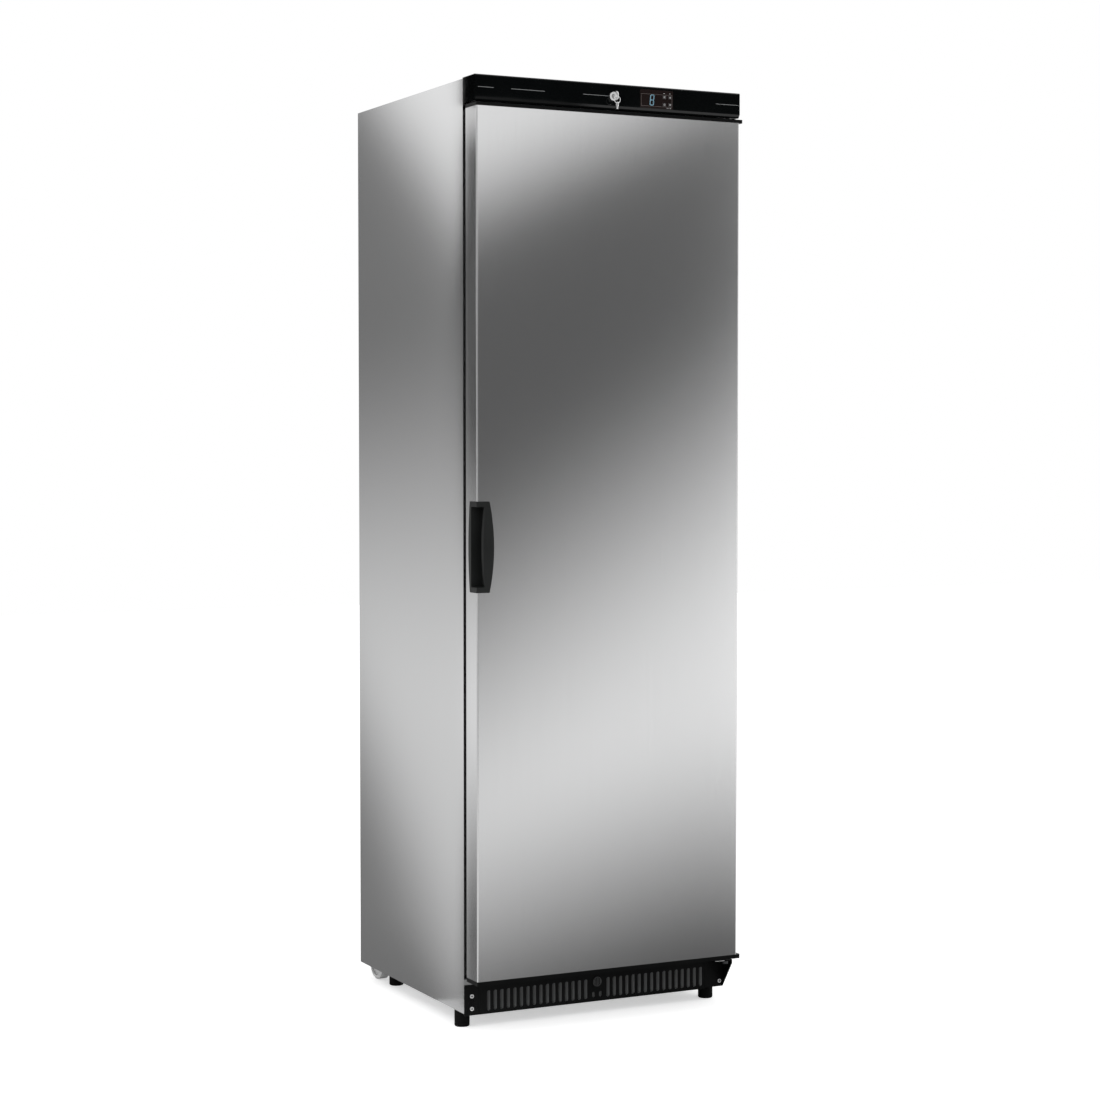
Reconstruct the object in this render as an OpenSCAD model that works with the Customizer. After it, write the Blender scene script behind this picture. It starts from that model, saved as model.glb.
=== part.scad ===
// Upright commercial meat refrigerator with one solid door, in millimetres.
// +Z is up, the door faces -Y and its hinges are on the +X side.
// The origin is on the floor, under the middle of the cabinet.

/* [Cabinet] */
// Outside width of the cabinet
cab_w = 600; // [580:1:640]
// Depth of the carcass behind the door seal
cab_d = 553; // [530:1:620]
// Height of the side panels
cab_h = 1865; // [1800:5:1960]
// Height of the side panels' lower edge over the floor
foot_h = 34; // [26:1:36]
// Thickness of the sheet steel
sheet_t = 1; // [0.8:0.1:1.4]
// Width of the side panels' front return
flange_w = 38; // [36:1:42]
// Width of the side panels' rear return
rear_lip = 15; // [12:1:20]
// Thickness of the insulated side walls
wall_side = 50; // [48:1:54]
// Thickness of the insulated back wall
wall_back = 51; // [45:1:60]
// Thickness of the insulated top
wall_top = 95; // [90:1:110]
// Thickness of the insulated floor and of the step over the machine space
wall_floor = 48; // [44:1:54]
// Thickness of the plastic liner
liner_t = 1.5; // [1:0.1:2]
// Depth of the machine space, from the back
machine_d = 215; // [205:1:225]
// Height of the machine space over the panels' lower edge
machine_h = 270; // [260:1:290]

/* [Door] */
// Thickness of the door leaf
door_t = 52; // [50:1:60]
// Gap that the seal closes between door and carcass
seal_gap = 9; // [8:0.5:12]
// How far the door leaf stays inside the cabinet's left side
door_inset_left = 2; // [1:0.5:4]
// How far the door leaf stays inside the cabinet's right side
door_inset_right = 1; // [0.5:0.5:3]
// Height of the door's lower edge over the panels' lower edge
door_lift = 67.5; // [66:0.5:72]
// Thickness of the plastic end caps of the door that shows
cap_t = 7; // [6:0.5:9]
// Extra thickness of the lower end cap
cap_extra = 1.5; // [0:0.5:2]
// How far the end caps go into the steel skin
cap_plug = 12; // [12:1:16]
// How far the end caps stand past the door's hinge side
ear_out = 9; // [6:0.5:10]
// Depth of the end caps' ears
ear_d = 44; // [36:1:46]
// Gap between the door and the header above it
top_gap = 3; // [2.5:0.5:5]
// Width of the folded edge at the back of the door skin
fold_w = 14; // [12:1:14]
// Radius of the door skin's front corners
skin_r = 3; // [2:0.5:4]
// Height of the raised bead on the door's inner panel
bead_h = 16; // [14:1:18]
// Width of that bead
bead_w = 30; // [26:1:36]
// Gap between the bead and the liner's mouth
bead_gap = 10; // [9:1:13]
// Width of the door seal
seal_w = 20; // [16:1:20]
// Distance of the hinge axis from the door's front face
hinge_in = 28; // [26:1:30]
// Distance of the hinge axis from the cabinet's right side
hinge_side = 12; // [11:0.5:13]
// Diameter of the hinge pins
pin_d = 8; // [7:0.5:9]

/* [Handle] */
// Height of the handle's lower end over the door's lower edge
handle_lift = 782.5; // [700:1:900]
// Length of the handle
handle_l = 180.6; // [160:1:210]
// Width of the handle's ends on the door's front
handle_w = 27; // [26:1:36]
// Depth of the handle's ends on the door's side
handle_d = 31; // [30:1:36]
// How far the handle's long edges bow out on both faces
handle_bow = 7; // [4:0.5:9]
// Thickness of the handle's outer rim over the skin
handle_rim = 2; // [1.5:0.5:3]
// How far the grip bows out in front of the door
grip_bow = 8; // [6:0.5:10]
// Thickness of the grip
grip_t = 5; // [4:0.5:7]
// Width of the finger pocket's mouth on the front, at its middle
pocket_w = 10; // [8:1:13]
// Depth of the finger pocket behind the front face
pocket_d = 24; // [20:1:25]
// Rim between the pocket and the handle's ends
pocket_end = 11; // [9:1:16]
// Wall of the finger pocket
pocket_wall = 2; // [1.5:0.5:3]

/* [Header] */
// Height of the header over the door
header_h = 51; // [50:1:60]
// How far the header stands above the side panels
header_rise = 2; // [0:0.5:4]
// Wall of the header
header_wall = 2.5; // [2:0.1:3]
// Height of the bevel along the header's lower edge
bevel_h = 7; // [5:0.5:9]
// Depth of that bevel
bevel_d = 5; // [3:0.5:7]
// Radius of the header's upper edge
header_r = 3; // [2:0.5:4]
// Left edge of the display window from the middle
window_x = 66; // [60:1:75]
// Width of the display window
window_w = 76; // [72:1:84]
// Height of the display window
window_h = 38; // [36:1:38]
// Distance of the window's top below the header's top
window_drop = 6; // [5:0.5:6.5]
// Width of a control key
key_w = 8; // [7:0.5:9]
// Height of a control key
key_h = 7; // [6:0.5:8]
// Distance between the key columns
key_pitch_x = 13; // [12:0.5:14]
// Distance between the key rows
key_pitch_z = 15; // [13:0.5:16]
// Travel of a control key
key_travel = 0.5; // [0.3:0.1:0.8]
// How far a control key stands out of the window
key_proud = 0.8; // [0.8:0.1:1.2]

/* [Lock] */
// Place of the lock from the middle
lock_x = 5; // [0:1:10]
// Distance of the lock's axis below the header's top
lock_drop = 25.3; // [23:0.1:26]
// Diameter of the lock's chrome collar
collar_d = 17.5; // [16:0.5:20]
// Diameter of the lock's barrel
barrel_d = 14; // [13:0.5:15]
// Diameter of the turning plug
plug_d = 10; // [9:0.5:11]
// Length of the lock behind the header's face
lock_l = 20; // [18:1:22]
// Length of the cam from the plug's axis
cam_l = 37.5; // [37:0.5:38.5]
// Radius of the round bow of a key
bow_r = 9; // [8.5:0.5:10]
// Thickness of a key
blade_t = 1.6; // [1.4:0.1:1.8]
// Radius of the key ring at the middle of its wire
ring_r = 6.8; // [6.5:0.1:7]
// Diameter of the key ring's wire
ring_wire = 1.2; // [1:0.1:1.3]

/* [Base] */
// Height of the kick grille
kick_h = 62; // [60:1:64]
// How far the grille reaches below the side panels
kick_drop = 4; // [2:1:6]
// Thickness of the grille and of the corner plate
kick_t = 2.5; // [2:0.5:3]
// Width of the corner plate
corner_w = 33; // [30:1:36]
// Width of the lower hinge bracket
bracket_w = 44; // [42:1:46]
// Thickness of the hinge brackets
bracket_t = 3; // [2.5:0.5:4]
// Slots on each side of the grille
slot_count = 16; // [12:1:16]
// Distance of the last slot's middle from the hinge bracket
slot_margin = 9.8; // [9:0.1:14]
// Width of a slot
slot_w = 8.5; // [7:0.5:9]
// Height of a slot
slot_h = 41; // [36:1:44]
// Distance of the first slot from the middle
slot_first = 26; // [24:1:27]
// Diameter of the feet
foot_d = 31; // [24:1:32]
// Diameter of the feet's threaded stems
stem_d = 10; // [8:1:12]
// Distance of the front feet from the cabinet's sides
foot_in_front = 15.5; // [14:0.5:20]
// Distance of the rear feet from the cabinet's sides
foot_in_rear = 41; // [38:1:48]
// Distance of the front feet behind the carcass front
foot_y_front = 44; // [40:1:60]
// Distance of the rear feet before the carcass back
foot_y_rear = 106; // [100:1:108]
// How far a foot screws out
foot_travel = 15; // [10:1:20]
// Diameter of the rear wheels
wheel_d = 70; // [60:1:72]
// Width of the rear wheels
wheel_w = 22; // [18:1:22]
// Distance of the wheels' outer face from the cabinet's side
wheel_in = 20; // [18:1:22]
// Distance of the wheel axle before the carcass back
wheel_y = 39; // [37:1:42]
// Gap between wheels and floor when the feet carry the cabinet
wheel_clear = 1.5; // [1:0.5:3]
// Diameter of the wheel axles
axle_d = 8; // [7:0.5:10]

/* [Shelves] */
// Height of the lowest shelf over the step
shelf_first = 150; // [140:5:170]
// Distance between the shelves
shelf_pitch = 330; // [300:5:340]
// Thickness of the shelves' frame wire
shelf_wire = 7; // [6:0.5:8]
// Thickness of the shelves' thin wires
shelf_fine = 4; // [3:0.5:5]
// Thin wires in a shelf
shelf_wires = 19; // [13:2:21]
// Free travel of a shelf towards the closed door
shelf_travel = 25; // [15:1:26]

/* [Cooling] */
// Diameter of the fan blades
fan_d = 140; // [120:2:146]
// Blades of a fan
fan_blades = 5; // [3:1:7]
// Diameter of the fan motors
motor_d = 56; // [48:2:60]
// Diameter of the compressor shell
comp_d = 150; // [130:2:154]
// Height of the compressor shell
comp_h = 180; // [150:5:185]
// Fins of a coil
fin_count = 30; // [12:2:40]
// Diameter of the refrigerant pipes
pipe_d = 8; // [6:1:10]

/* [Hidden] */
$fn = 48;
eps = 0.01;

// Clearance between parts that slide or lie loosely on each other
loose = 0.3;
// Radial clearance of a turning pin
running = 0.05;
// Radial clearance of a screw in its hole
screw_clear = 0.2;
// Radial clearance of the lock's barrel in the header
barrel_clear = 0.1;

// Cabinet
cab_x = cab_w / 2;
front_y = -(door_t + seal_gap + cab_d) / 2;
door_back_y = front_y + door_t;
carc_y = door_back_y + seal_gap;
back_y = carc_y + cab_d;
panel_z0 = foot_h;
panel_z1 = panel_z0 + cab_h;
header_z1 = panel_z1 + header_rise;
header_z0 = header_z1 - header_h;
kick_z0 = panel_z0 - kick_drop;
kick_z1 = kick_z0 + kick_h;
under_z = kick_z1 + 4;
machine_y = back_y - machine_d;
machine_z = panel_z0 + machine_h;

// Inside of the liner
liner_lip = 12;
room_x = cab_x - wall_side;
room_z0 = under_z + wall_floor;
room_z1 = panel_z1 - wall_top;
room_y1 = back_y - wall_back;
step_y = machine_y - wall_floor;
step_z = machine_z + wall_floor;

// Door
door_x0 = -cab_x + door_inset_left;
door_x1 = cab_x - door_inset_right;
door_z0 = panel_z0 + door_lift;
door_z1 = header_z0 - top_gap;
skin_z0 = door_z0 + cap_t + cap_extra;
skin_z1 = door_z1 - cap_t;
hinge_x = cab_x - hinge_side;
hinge_y = front_y + hinge_in;
bush_r = pin_d / 2 + 3;
bush_l = 20;
pin_end = 18;
panel_t = 2;
panel_y = door_back_y - sheet_t;
bead_x = room_x - bead_gap;
bead_z0 = room_z0 + bead_gap;
bead_z1 = room_z1 - bead_gap;
bead_y = panel_y + bead_h;
seal_x = hinge_x - 4;
seal_z0 = room_z0 - 8;
seal_z1 = room_z1 + 8;

// Handle
handle_z0 = door_z0 + handle_lift;
handle_z1 = handle_z0 + handle_l;
handle_x0 = door_x0 - handle_rim;
handle_x1 = door_x0 + handle_w;
handle_y0 = front_y - handle_rim;
handle_y1 = front_y + handle_d;
notch = 3;
pocket_z0 = handle_z0 + pocket_end;
pocket_z1 = handle_z1 - pocket_end;

// Header parts
window_z1 = header_z1 - window_drop;
window_z0 = window_z1 - window_h;
window_x1 = window_x + window_w;
key_x = window_x1 - 7.2 - key_pitch_x;
key_z = (window_z0 + window_z1) / 2 - key_pitch_z / 2 - 2;
key_flange = 1;
lock_z = header_z1 - lock_drop;
collar_t = 2.5;
plug_y0 = front_y - collar_t - 0.4;
plug_y1 = front_y + lock_l + loose;
cam_t = 3;
cam_w = 10;
bow_y = plug_y0 - bow_r - 0.6;
bow_hole_r = 2.4;
bow_hole_y = bow_y - 4;
blade_l = 15;
blade_h = 7;
ring_z = lock_z - bow_hole_r + ring_wire / 2 + 0.5 - ring_r;
spare_hole_r = 1.7;
spare_hole_z = ring_z - ring_r + ring_wire / 2 + 0.2 - spare_hole_r;
spare_bow_r = 5;
spare_z0 = door_z1 + 1.6;

// Base parts
bracket_x = cab_x - bracket_w;
slot_pitch = (bracket_x - slot_margin - slot_first) / (slot_count - 1);
slot_z = kick_z0 + 6.4;
screw_left_x = -cab_x + 15.8;
screw_right_x = cab_x - 9;
screw_z = [panel_z0 + 9.7, panel_z0 + 35.1];
screw_right_z = [screw_z[0]];
screw_d = 4;
screw_head_d = 8;
screw_in = 12;
rail_w = 34;
rail_h = 30;
rail_t = 2;
rail_x = cab_x - sheet_t - rail_w;
rail_y0 = carc_y + sheet_t + loose;
nut_d = 13;
nut_h = 46;
foot_front = [cab_x - foot_in_front, carc_y + foot_y_front];
foot_rear = [cab_x - foot_in_rear, back_y - foot_y_rear];
socket_h = foot_travel + 13;
stem_z = panel_z0 + socket_h - 2;
wheel_x1 = cab_x - wheel_in;
wheel_x0 = wheel_x1 - wheel_w;
wheel_cy = back_y - wheel_y;
wheel_cz = wheel_d / 2 + wheel_clear;
fork_t = 3;
fork_gap = 2;
fork_x0 = wheel_x0 - fork_gap - fork_t;
fork_x1 = wheel_x1 + fork_gap;
fork_z = wheel_cz + wheel_d / 2 + 3;
fork_y0 = wheel_cy - wheel_d / 2 - 4;
fork_y1 = back_y - 8;
pan_x = fork_x0 - 3;
pan_z = panel_z0 + rail_t;

// Shelves
shelf_x = room_x - 14;
shelf_y0 = bead_y + shelf_travel + 3;
shelf_y1 = room_y1 - 56;
strip_y = [shelf_y0 + 60, shelf_y1 - 70];
strip_w = 24;
strip_d = 4;
strip_t = 1.5;
strip_z0 = step_z + 30;
strip_z1 = step_z + shelf_first + 2 * shelf_pitch + 180;
strip_pitch = 30;
slot_z0 = strip_z0 + strip_pitch;

// Cooling parts
evap_x = room_x - 40;
evap_y0 = room_y1 - 136;
evap_h = 240;
evap_z0 = room_z1 - evap_h;
evap_t = 1.2;
evap_fan_y = evap_y0 + evap_t + 5;
evap_fan_z = room_z1 - evap_h / 2;
coil_x = evap_x - 20;
coil_h = 180;
coil_d = 50;
coil_y0 = room_y1 - coil_d - 6;
coil_z0 = evap_z0 + 30;
cond_x0 = -pan_x + 4;
cond_w = 180;
cond_y0 = machine_y + 10;
cond_d = 46;
cond_h = 170;
cond_z0 = pan_z + 16;
cond_fan_x = cond_x0 + cond_w / 2;
cond_fan_z = cond_z0 + cond_h / 2;
shroud_y = cond_y0 + cond_d;
cond_fan_y = shroud_y + 2;
fan_t = 20;
shaft_d = 6;
motor_l = 26;
arm_t = 3;
arm_w = 12;
comp_x = pan_x - 140;
comp_y = machine_y + 108;
mount_h = 12;
comp_z = pan_z + mount_h + 3;
comp_top = comp_z + comp_h;
drain_x = comp_x - 40;
drain_d = 18;
inlet_x = -pan_x + 50;
inlet_z = panel_z0 + 90;
gland_d = 16;
cord_hole_d = 8.5;
pipe_y = room_y1 + wall_back / 2;
pipe_x = 30;
suction_z = coil_z0 + 40;

steel = [0.72, 0.72, 0.72];
zinc = [0.6, 0.62, 0.64];
black = [0.06, 0.06, 0.06];
dark = [0.15, 0.15, 0.15];
white = [0.92, 0.92, 0.9];
foam = [0.93, 0.87, 0.66];
chrome = [0.82, 0.83, 0.85];
copper = [0.72, 0.45, 0.3];
rubber = [0.1, 0.1, 0.1];

// A block given by its lowest and highest corners
module block(x0, x1, y0, y1, z0, z1) {
    translate([x0, y0, z0]) cube([x1 - x0, y1 - y0, z1 - z0]);
}

// A copy of the children on each side of the middle plane
module both_sides() {
    children();
    mirror([1, 0, 0]) children();
}

// A cylinder along Y from y0 to y1
module rod_y(x, z, r, y0, y1) {
    translate([x, y0, z]) rotate([-90, 0, 0]) cylinder(r = r, h = y1 - y0);
}

// A cylinder along X from x0 to x1
module rod_x(y, z, r, x0, x1) {
    translate([x0, y, z]) rotate([0, 90, 0]) cylinder(r = r, h = x1 - x0);
}

// A cylinder along Z from z0 to z1
module rod_z(x, y, r, z0, z1) {
    translate([x, y, z0]) cylinder(r = r, h = z1 - z0);
}

// A (y, z) outline extruded from x0 to x1
module along_x(x0, x1) {
    translate([x0, 0, 0]) rotate([90, 0, 90]) linear_extrude(x1 - x0) children();
}

// An (x, z) outline extruded from y0 to y1
module along_y(y0, y1) {
    translate([0, y1, 0]) rotate([90, 0, 0]) linear_extrude(y1 - y0) children();
}

// A rectangle given by its corners
module rect(u0, u1, v0, v1) {
    translate([u0, v0]) square([u1 - u0, v1 - v0]);
}

// An upright slot with round ends, around (u, v)
module slot2d(u, v, w, h) {
    rect(u - w / 2, u + w / 2, v - h / 2 + w / 2, v + h / 2 - w / 2);
    translate([u, v - h / 2 + w / 2]) circle(d = w);
    translate([u, v + h / 2 - w / 2]) circle(d = w);
}

// A pipe through a list of points, with round corners
module pipe(points, r) {
    for (i = [0 : len(points) - 2]) {
        v = points[i + 1] - points[i];
        turn = atan2(v[1], v[0]);
        tilt = atan2(norm([v[0], v[1]]), v[2]);
        translate(points[i]) rotate([0, tilt, turn]) cylinder(r = r, h = norm(v), $fn = 24);
        if (i > 0) translate(points[i]) sphere(r = r, $fn = 24);
    }
}

// Cabinet shell

module side_panel(screw_x, heights) {
    difference() {
        union() {
            block(cab_x - sheet_t, cab_x, carc_y, back_y, panel_z0, panel_z1);
            block(cab_x - flange_w, cab_x, carc_y, carc_y + sheet_t, panel_z0, panel_z1);
            block(cab_x - rear_lip, cab_x, back_y - sheet_t, back_y, panel_z0, panel_z1);
        }
        for (z = heights) {
            rod_y(screw_x, z, screw_d / 2 + screw_clear, carc_y - 1, carc_y + sheet_t + 1);
        }
    }
}

module side_panel_left() {
    color(steel) mirror([1, 0, 0]) side_panel(-screw_left_x, screw_z);
}

module side_panel_right() {
    color(steel) side_panel(screw_right_x, screw_right_z);
}

module top_panel() {
    inner_x = cab_x - sheet_t;
    lintel_x = cab_x - flange_w;
    color(steel) {
        block(-inner_x, inner_x, carc_y + sheet_t, back_y - sheet_t, panel_z1 - sheet_t, panel_z1);
        block(-lintel_x, lintel_x, carc_y, carc_y + 2 * sheet_t, panel_z1 - sheet_t, panel_z1);
        block(-lintel_x, lintel_x, carc_y, carc_y + sheet_t, room_z1 + liner_lip, panel_z1);
    }
}

module back_panel() {
    x = cab_x - rear_lip;
    color(zinc) block(-x, x, back_y - sheet_t, back_y, machine_z, panel_z1);
}

module underside_panel() {
    x = cab_x - sheet_t;
    y0 = carc_y + sheet_t;
    color(zinc) difference() {
        union() {
            block(-x, x, y0, machine_y, under_z - sheet_t, under_z);
            block(-x, x, machine_y - sheet_t, machine_y, under_z - sheet_t, machine_z + sheet_t);
            block(-x, x, machine_y - sheet_t, back_y - sheet_t, machine_z, machine_z + sheet_t);
        }
        rod_z(drain_x, comp_y, drain_d / 2 + screw_clear, machine_z - 1, machine_z + 2);
        rod_z(pipe_x, pipe_y, pipe_d / 2 + screw_clear, machine_z - 1, machine_z + 2);
    }
}

module front_sill() {
    x = cab_x - flange_w;
    color(steel) block(-x, x, carc_y, carc_y + sheet_t, kick_z1 - 4, room_z0 - liner_lip);
}

// The room's outline seen from the side, grown by g
module room2d(g) {
    polygon([
        [carc_y - 1, room_z0 - g],
        [step_y + g, room_z0 - g],
        [step_y + g, step_z - g],
        [room_y1 + g, step_z - g],
        [room_y1 + g, room_z1 + g],
        [carc_y - 1, room_z1 + g]
    ]);
}

module insulation_foam() {
    x = cab_x - sheet_t;
    liner_x = room_x + liner_t;
    color(foam) difference() {
        block(-x, x, carc_y + sheet_t, back_y - sheet_t, under_z, panel_z1 - sheet_t);
        block(-x - 1, x + 1, machine_y - sheet_t, back_y, under_z - 1, machine_z + sheet_t);
        along_x(-liner_x, liner_x) room2d(liner_t);
        rod_z(drain_x, comp_y, drain_d / 2 + screw_clear, machine_z, step_z);
        rod_z(pipe_x, pipe_y, pipe_d / 2 + screw_clear, machine_z, suction_z);
        translate([pipe_x, pipe_y, suction_z]) sphere(r = pipe_d / 2 + screw_clear);
        rod_y(pipe_x, suction_z, pipe_d / 2 + screw_clear, room_y1, pipe_y);
    }
}

module inner_liner() {
    liner_x = room_x + liner_t;
    lip_x = cab_x - flange_w;
    color(white) difference() {
        union() {
            intersection() {
                along_x(-liner_x, liner_x) room2d(liner_t);
                block(-cab_x, cab_x, carc_y, back_y, 0, panel_z1);
            }
            block(-lip_x, lip_x, carc_y, carc_y + sheet_t, room_z0 - liner_lip, room_z1 + liner_lip);
        }
        along_x(-room_x, room_x) room2d(0);
        rod_z(drain_x, comp_y, drain_d / 2 + screw_clear, machine_z, step_z + 1);
        rod_y(pipe_x, suction_z, pipe_d / 2 + screw_clear, room_y1 - 1, pipe_y);
    }
}

// Header

module header2d() {
    r = header_r;
    difference() {
        polygon([
            [carc_y, header_z0],
            [front_y + bevel_d, header_z0],
            [front_y, header_z0 + bevel_h],
            [front_y, header_z1],
            [carc_y, header_z1]
        ]);
        difference() {
            rect(front_y - 1, front_y + r, header_z1 - r, header_z1 + 1);
            translate([front_y + r, header_z1 - r]) circle(r = r);
        }
    }
}

module header_hollow2d() {
    w = header_wall;
    lip = 6;
    polygon([
        [carc_y + 1, header_z0 - 1],
        [front_y + bevel_d + lip, header_z0 - 1],
        [front_y + bevel_d + lip, header_z0 + w],
        [front_y + bevel_d + w, header_z0 + w],
        [front_y + w, header_z0 + bevel_h + w / 2],
        [front_y + w, header_z1 - w],
        [carc_y + 1, header_z1 - w]
    ]);
}

module header_fascia() {
    color(black) difference() {
        along_x(-cab_x, cab_x) header2d();
        along_x(-cab_x + header_wall, cab_x - header_wall) header_hollow2d();
        block(window_x, window_x1, front_y - 1, front_y + header_wall + 1, window_z0, window_z1);
        rod_y(lock_x, lock_z, barrel_d / 2 + barrel_clear, front_y - 1, front_y + header_wall + 1);
    }
}

module header_chassis() {
    t = 2;
    rib_z0 = header_z0 + 14;
    rib_z1 = header_z1 - header_wall - 4;
    color(zinc) {
        block(-cab_x + 10, bracket_x - 4, carc_y - t, carc_y, header_z0 + 4, rib_z1);
        for (x = [-cab_x + 80, lock_x - 45, window_x1 + 30]) {
            block(x, x + t, front_y + header_wall, carc_y - t + eps, rib_z0, rib_z1);
        }
    }
}

// Places of the four control keys
function key_place(i) = [key_x + (i % 2) * key_pitch_x, key_z + floor(i / 2) * key_pitch_z];

module display_window() {
    c = 0.1;
    color([0.16, 0.1, 0.1]) difference() {
        block(window_x + c, window_x1 - c, front_y, front_y + header_wall, window_z0 + c, window_z1 - c);
        for (i = [0 : 3]) {
            p = key_place(i);
            block(p[0] - key_w / 2 - loose, p[0] + key_w / 2 + loose, front_y - 1,
                front_y + header_wall + 1, p[1] - key_h / 2 - loose, p[1] + key_h / 2 + loose);
        }
    }
}

module controller_module() {
    y0 = front_y + header_wall;
    pocket_y = y0 + loose + key_flange + key_travel + loose;
    margin = key_flange + 2 * loose;
    color(dark) difference() {
        block(window_x + 2, window_x1 - 2, y0, y0 + 34, window_z0 + 2, window_z1 - 2);
        block(key_x - key_w / 2 - margin, key_x + key_pitch_x + key_w / 2 + margin, y0 - 1, pocket_y,
            key_z - key_h / 2 - margin, key_z + key_pitch_z + key_h / 2 + margin);
    }
}

module control_key(i) {
    p = key_place(i);
    y0 = front_y + header_wall + loose;
    f = key_flange;
    color([0.3, 0.27, 0.27]) {
        block(p[0] - key_w / 2, p[0] + key_w / 2, front_y - key_proud, y0 + eps,
            p[1] - key_h / 2, p[1] + key_h / 2);
        block(p[0] - key_w / 2 - f, p[0] + key_w / 2 + f, y0, y0 + f,
            p[1] - key_h / 2 - f, p[1] + key_h / 2 + f);
    }
}

// Lock

module lock_housing() {
    nut_y = front_y + header_wall;
    color(chrome) difference() {
        union() {
            rod_y(lock_x, lock_z, collar_d / 2, front_y - collar_t, front_y);
            rod_y(lock_x, lock_z, barrel_d / 2, front_y - eps, front_y + lock_l);
            rod_y(lock_x, lock_z, barrel_d / 2 + 3, nut_y, nut_y + 5, $fn = 6);
        }
        rod_y(lock_x, lock_z, plug_d / 2 + running, front_y - collar_t - 1, front_y + lock_l + 1);
    }
}

module lock_plug() {
    color(chrome) difference() {
        rod_y(lock_x, lock_z, plug_d / 2, plug_y0, plug_y1);
        key_hole = blade_t / 2 + 0.1;
        block(lock_x - key_hole, lock_x + key_hole, plug_y0 - 1, plug_y0 + blade_l + 1,
            lock_z - blade_h / 2 - 0.1, lock_z + blade_h / 2 + 0.1);
    }
}

module lock_cam() {
    color(zinc) {
        rod_y(lock_x, lock_z, 8, plug_y1, plug_y1 + cam_t);
        block(lock_x, lock_x + cam_l - cam_w / 2, plug_y1, plug_y1 + cam_t,
            lock_z - cam_w / 2, lock_z + cam_w / 2);
        rod_y(lock_x + cam_l - cam_w / 2, lock_z, cam_w / 2, plug_y1, plug_y1 + cam_t);
        rod_y(lock_x, lock_z, 3.5, plug_y1 + cam_t - eps, plug_y1 + cam_t + 2);
    }
}

module lock_key() {
    x0 = lock_x - blade_t / 2;
    color(chrome) difference() {
        union() {
            rod_x(bow_y, lock_z, bow_r, x0, x0 + blade_t);
            block(x0, x0 + blade_t, bow_y, plug_y0 + blade_l, lock_z - blade_h / 2, lock_z + blade_h / 2);
        }
        rod_x(bow_hole_y, lock_z, bow_hole_r, x0 - 1, x0 + blade_t + 1);
    }
}

module key_ring() {
    x0 = lock_x - blade_t / 2;
    spare_bow_z = spare_hole_z - 1.8;
    color(chrome) {
        translate([lock_x, bow_hole_y, ring_z]) rotate([90, 0, 0])
            rotate_extrude() translate([ring_r, 0]) circle(d = ring_wire, $fn = 24);
        difference() {
            union() {
                rod_x(bow_hole_y, spare_bow_z, spare_bow_r, x0, x0 + blade_t);
                block(x0, x0 + blade_t, bow_hole_y - 2.2, bow_hole_y + 2.2, spare_z0, spare_bow_z);
            }
            rod_x(bow_hole_y, spare_hole_z, spare_hole_r, x0 - 1, x0 + blade_t + 1);
        }
    }
}

// Hinges

module lower_hinge_bracket() {
    y1 = carc_y - bracket_t;
    tip_y = hinge_y - pin_d / 2 - 5;
    color(black) difference() {
        union() {
            block(bracket_x, cab_x, y1, carc_y, panel_z0 - 2, kick_z1 + 4);
            block(bracket_x, cab_x, tip_y, carc_y, kick_z1 + 1, kick_z1 + 4);
            along_x(cab_x - bracket_t, cab_x) polygon([
                [carc_y, panel_z0 - 2], [y1, panel_z0 - 2], [tip_y, kick_z1 - 4],
                [tip_y, kick_z1 + 4], [carc_y, kick_z1 + 4]
            ]);
        }
        rod_z(hinge_x, hinge_y, pin_d / 2 + running, kick_z1, kick_z1 + 5);
        for (z = screw_right_z) {
            rod_y(screw_right_x, z, screw_d / 2 + screw_clear, y1 - 1, carc_y + 1);
        }
    }
}

module upper_hinge_bracket() {
    z0 = header_z0 + 1;
    x1 = cab_x - header_wall - loose;
    color(zinc) difference() {
        union() {
            block(bracket_x, x1, hinge_y - pin_d / 2 - 4, carc_y, z0, z0 + bracket_t);
            block(bracket_x, x1, carc_y - bracket_t, carc_y, z0, header_z1 - header_wall - 4);
        }
        rod_z(hinge_x, hinge_y, pin_d / 2 + running, z0 - 1, z0 + bracket_t + 1);
    }
}

module hinge_pins() {
    low_z = kick_z1 + 4;
    high_z = header_z0 + 1 + bracket_t;
    color(zinc) {
        rod_z(hinge_x, hinge_y, pin_d / 2, low_z - 7, door_z0 + pin_end);
        rod_z(hinge_x, hinge_y, pin_d / 2 + 4, low_z, door_z0 - loose);
        rod_z(hinge_x, hinge_y, pin_d / 2 + 2.5, low_z - 9, low_z - 3);
        rod_z(hinge_x, hinge_y, pin_d / 2, door_z1 - pin_end, high_z + 1);
        rod_z(hinge_x, hinge_y, pin_d / 2 + 2.5, high_z, high_z + 3);
    }
}

module hinge_bushes() {
    color(white) {
        difference() {
            rod_z(hinge_x, hinge_y, bush_r, door_z0, door_z0 + bush_l);
            rod_z(hinge_x, hinge_y, pin_d / 2 + running, door_z0 - 1, door_z0 + pin_end + loose);
        }
        difference() {
            rod_z(hinge_x, hinge_y, bush_r, door_z1 - bush_l, door_z1);
            rod_z(hinge_x, hinge_y, pin_d / 2 + running, door_z1 - pin_end - loose, door_z1 + 1);
        }
    }
}

// Door

// The door's outline from above, drawn in by g, with round front corners
module leaf2d(g) {
    x0 = door_x0 + g;
    x1 = door_x1 - g;
    y0 = front_y + g;
    r = skin_r - g;
    rect(x0 + r, x1 - r, y0, door_back_y);
    rect(x0, x1, y0 + r, door_back_y);
    translate([x0 + r, y0 + r]) circle(r = r);
    translate([x1 - r, y0 + r]) circle(r = r);
}

module handle_notch(g) {
    block(door_x0 - 5, handle_x1 - notch + g, front_y - 5, handle_y1 - notch + g,
        handle_z0 + notch - g, handle_z1 - notch + g);
}

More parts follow.
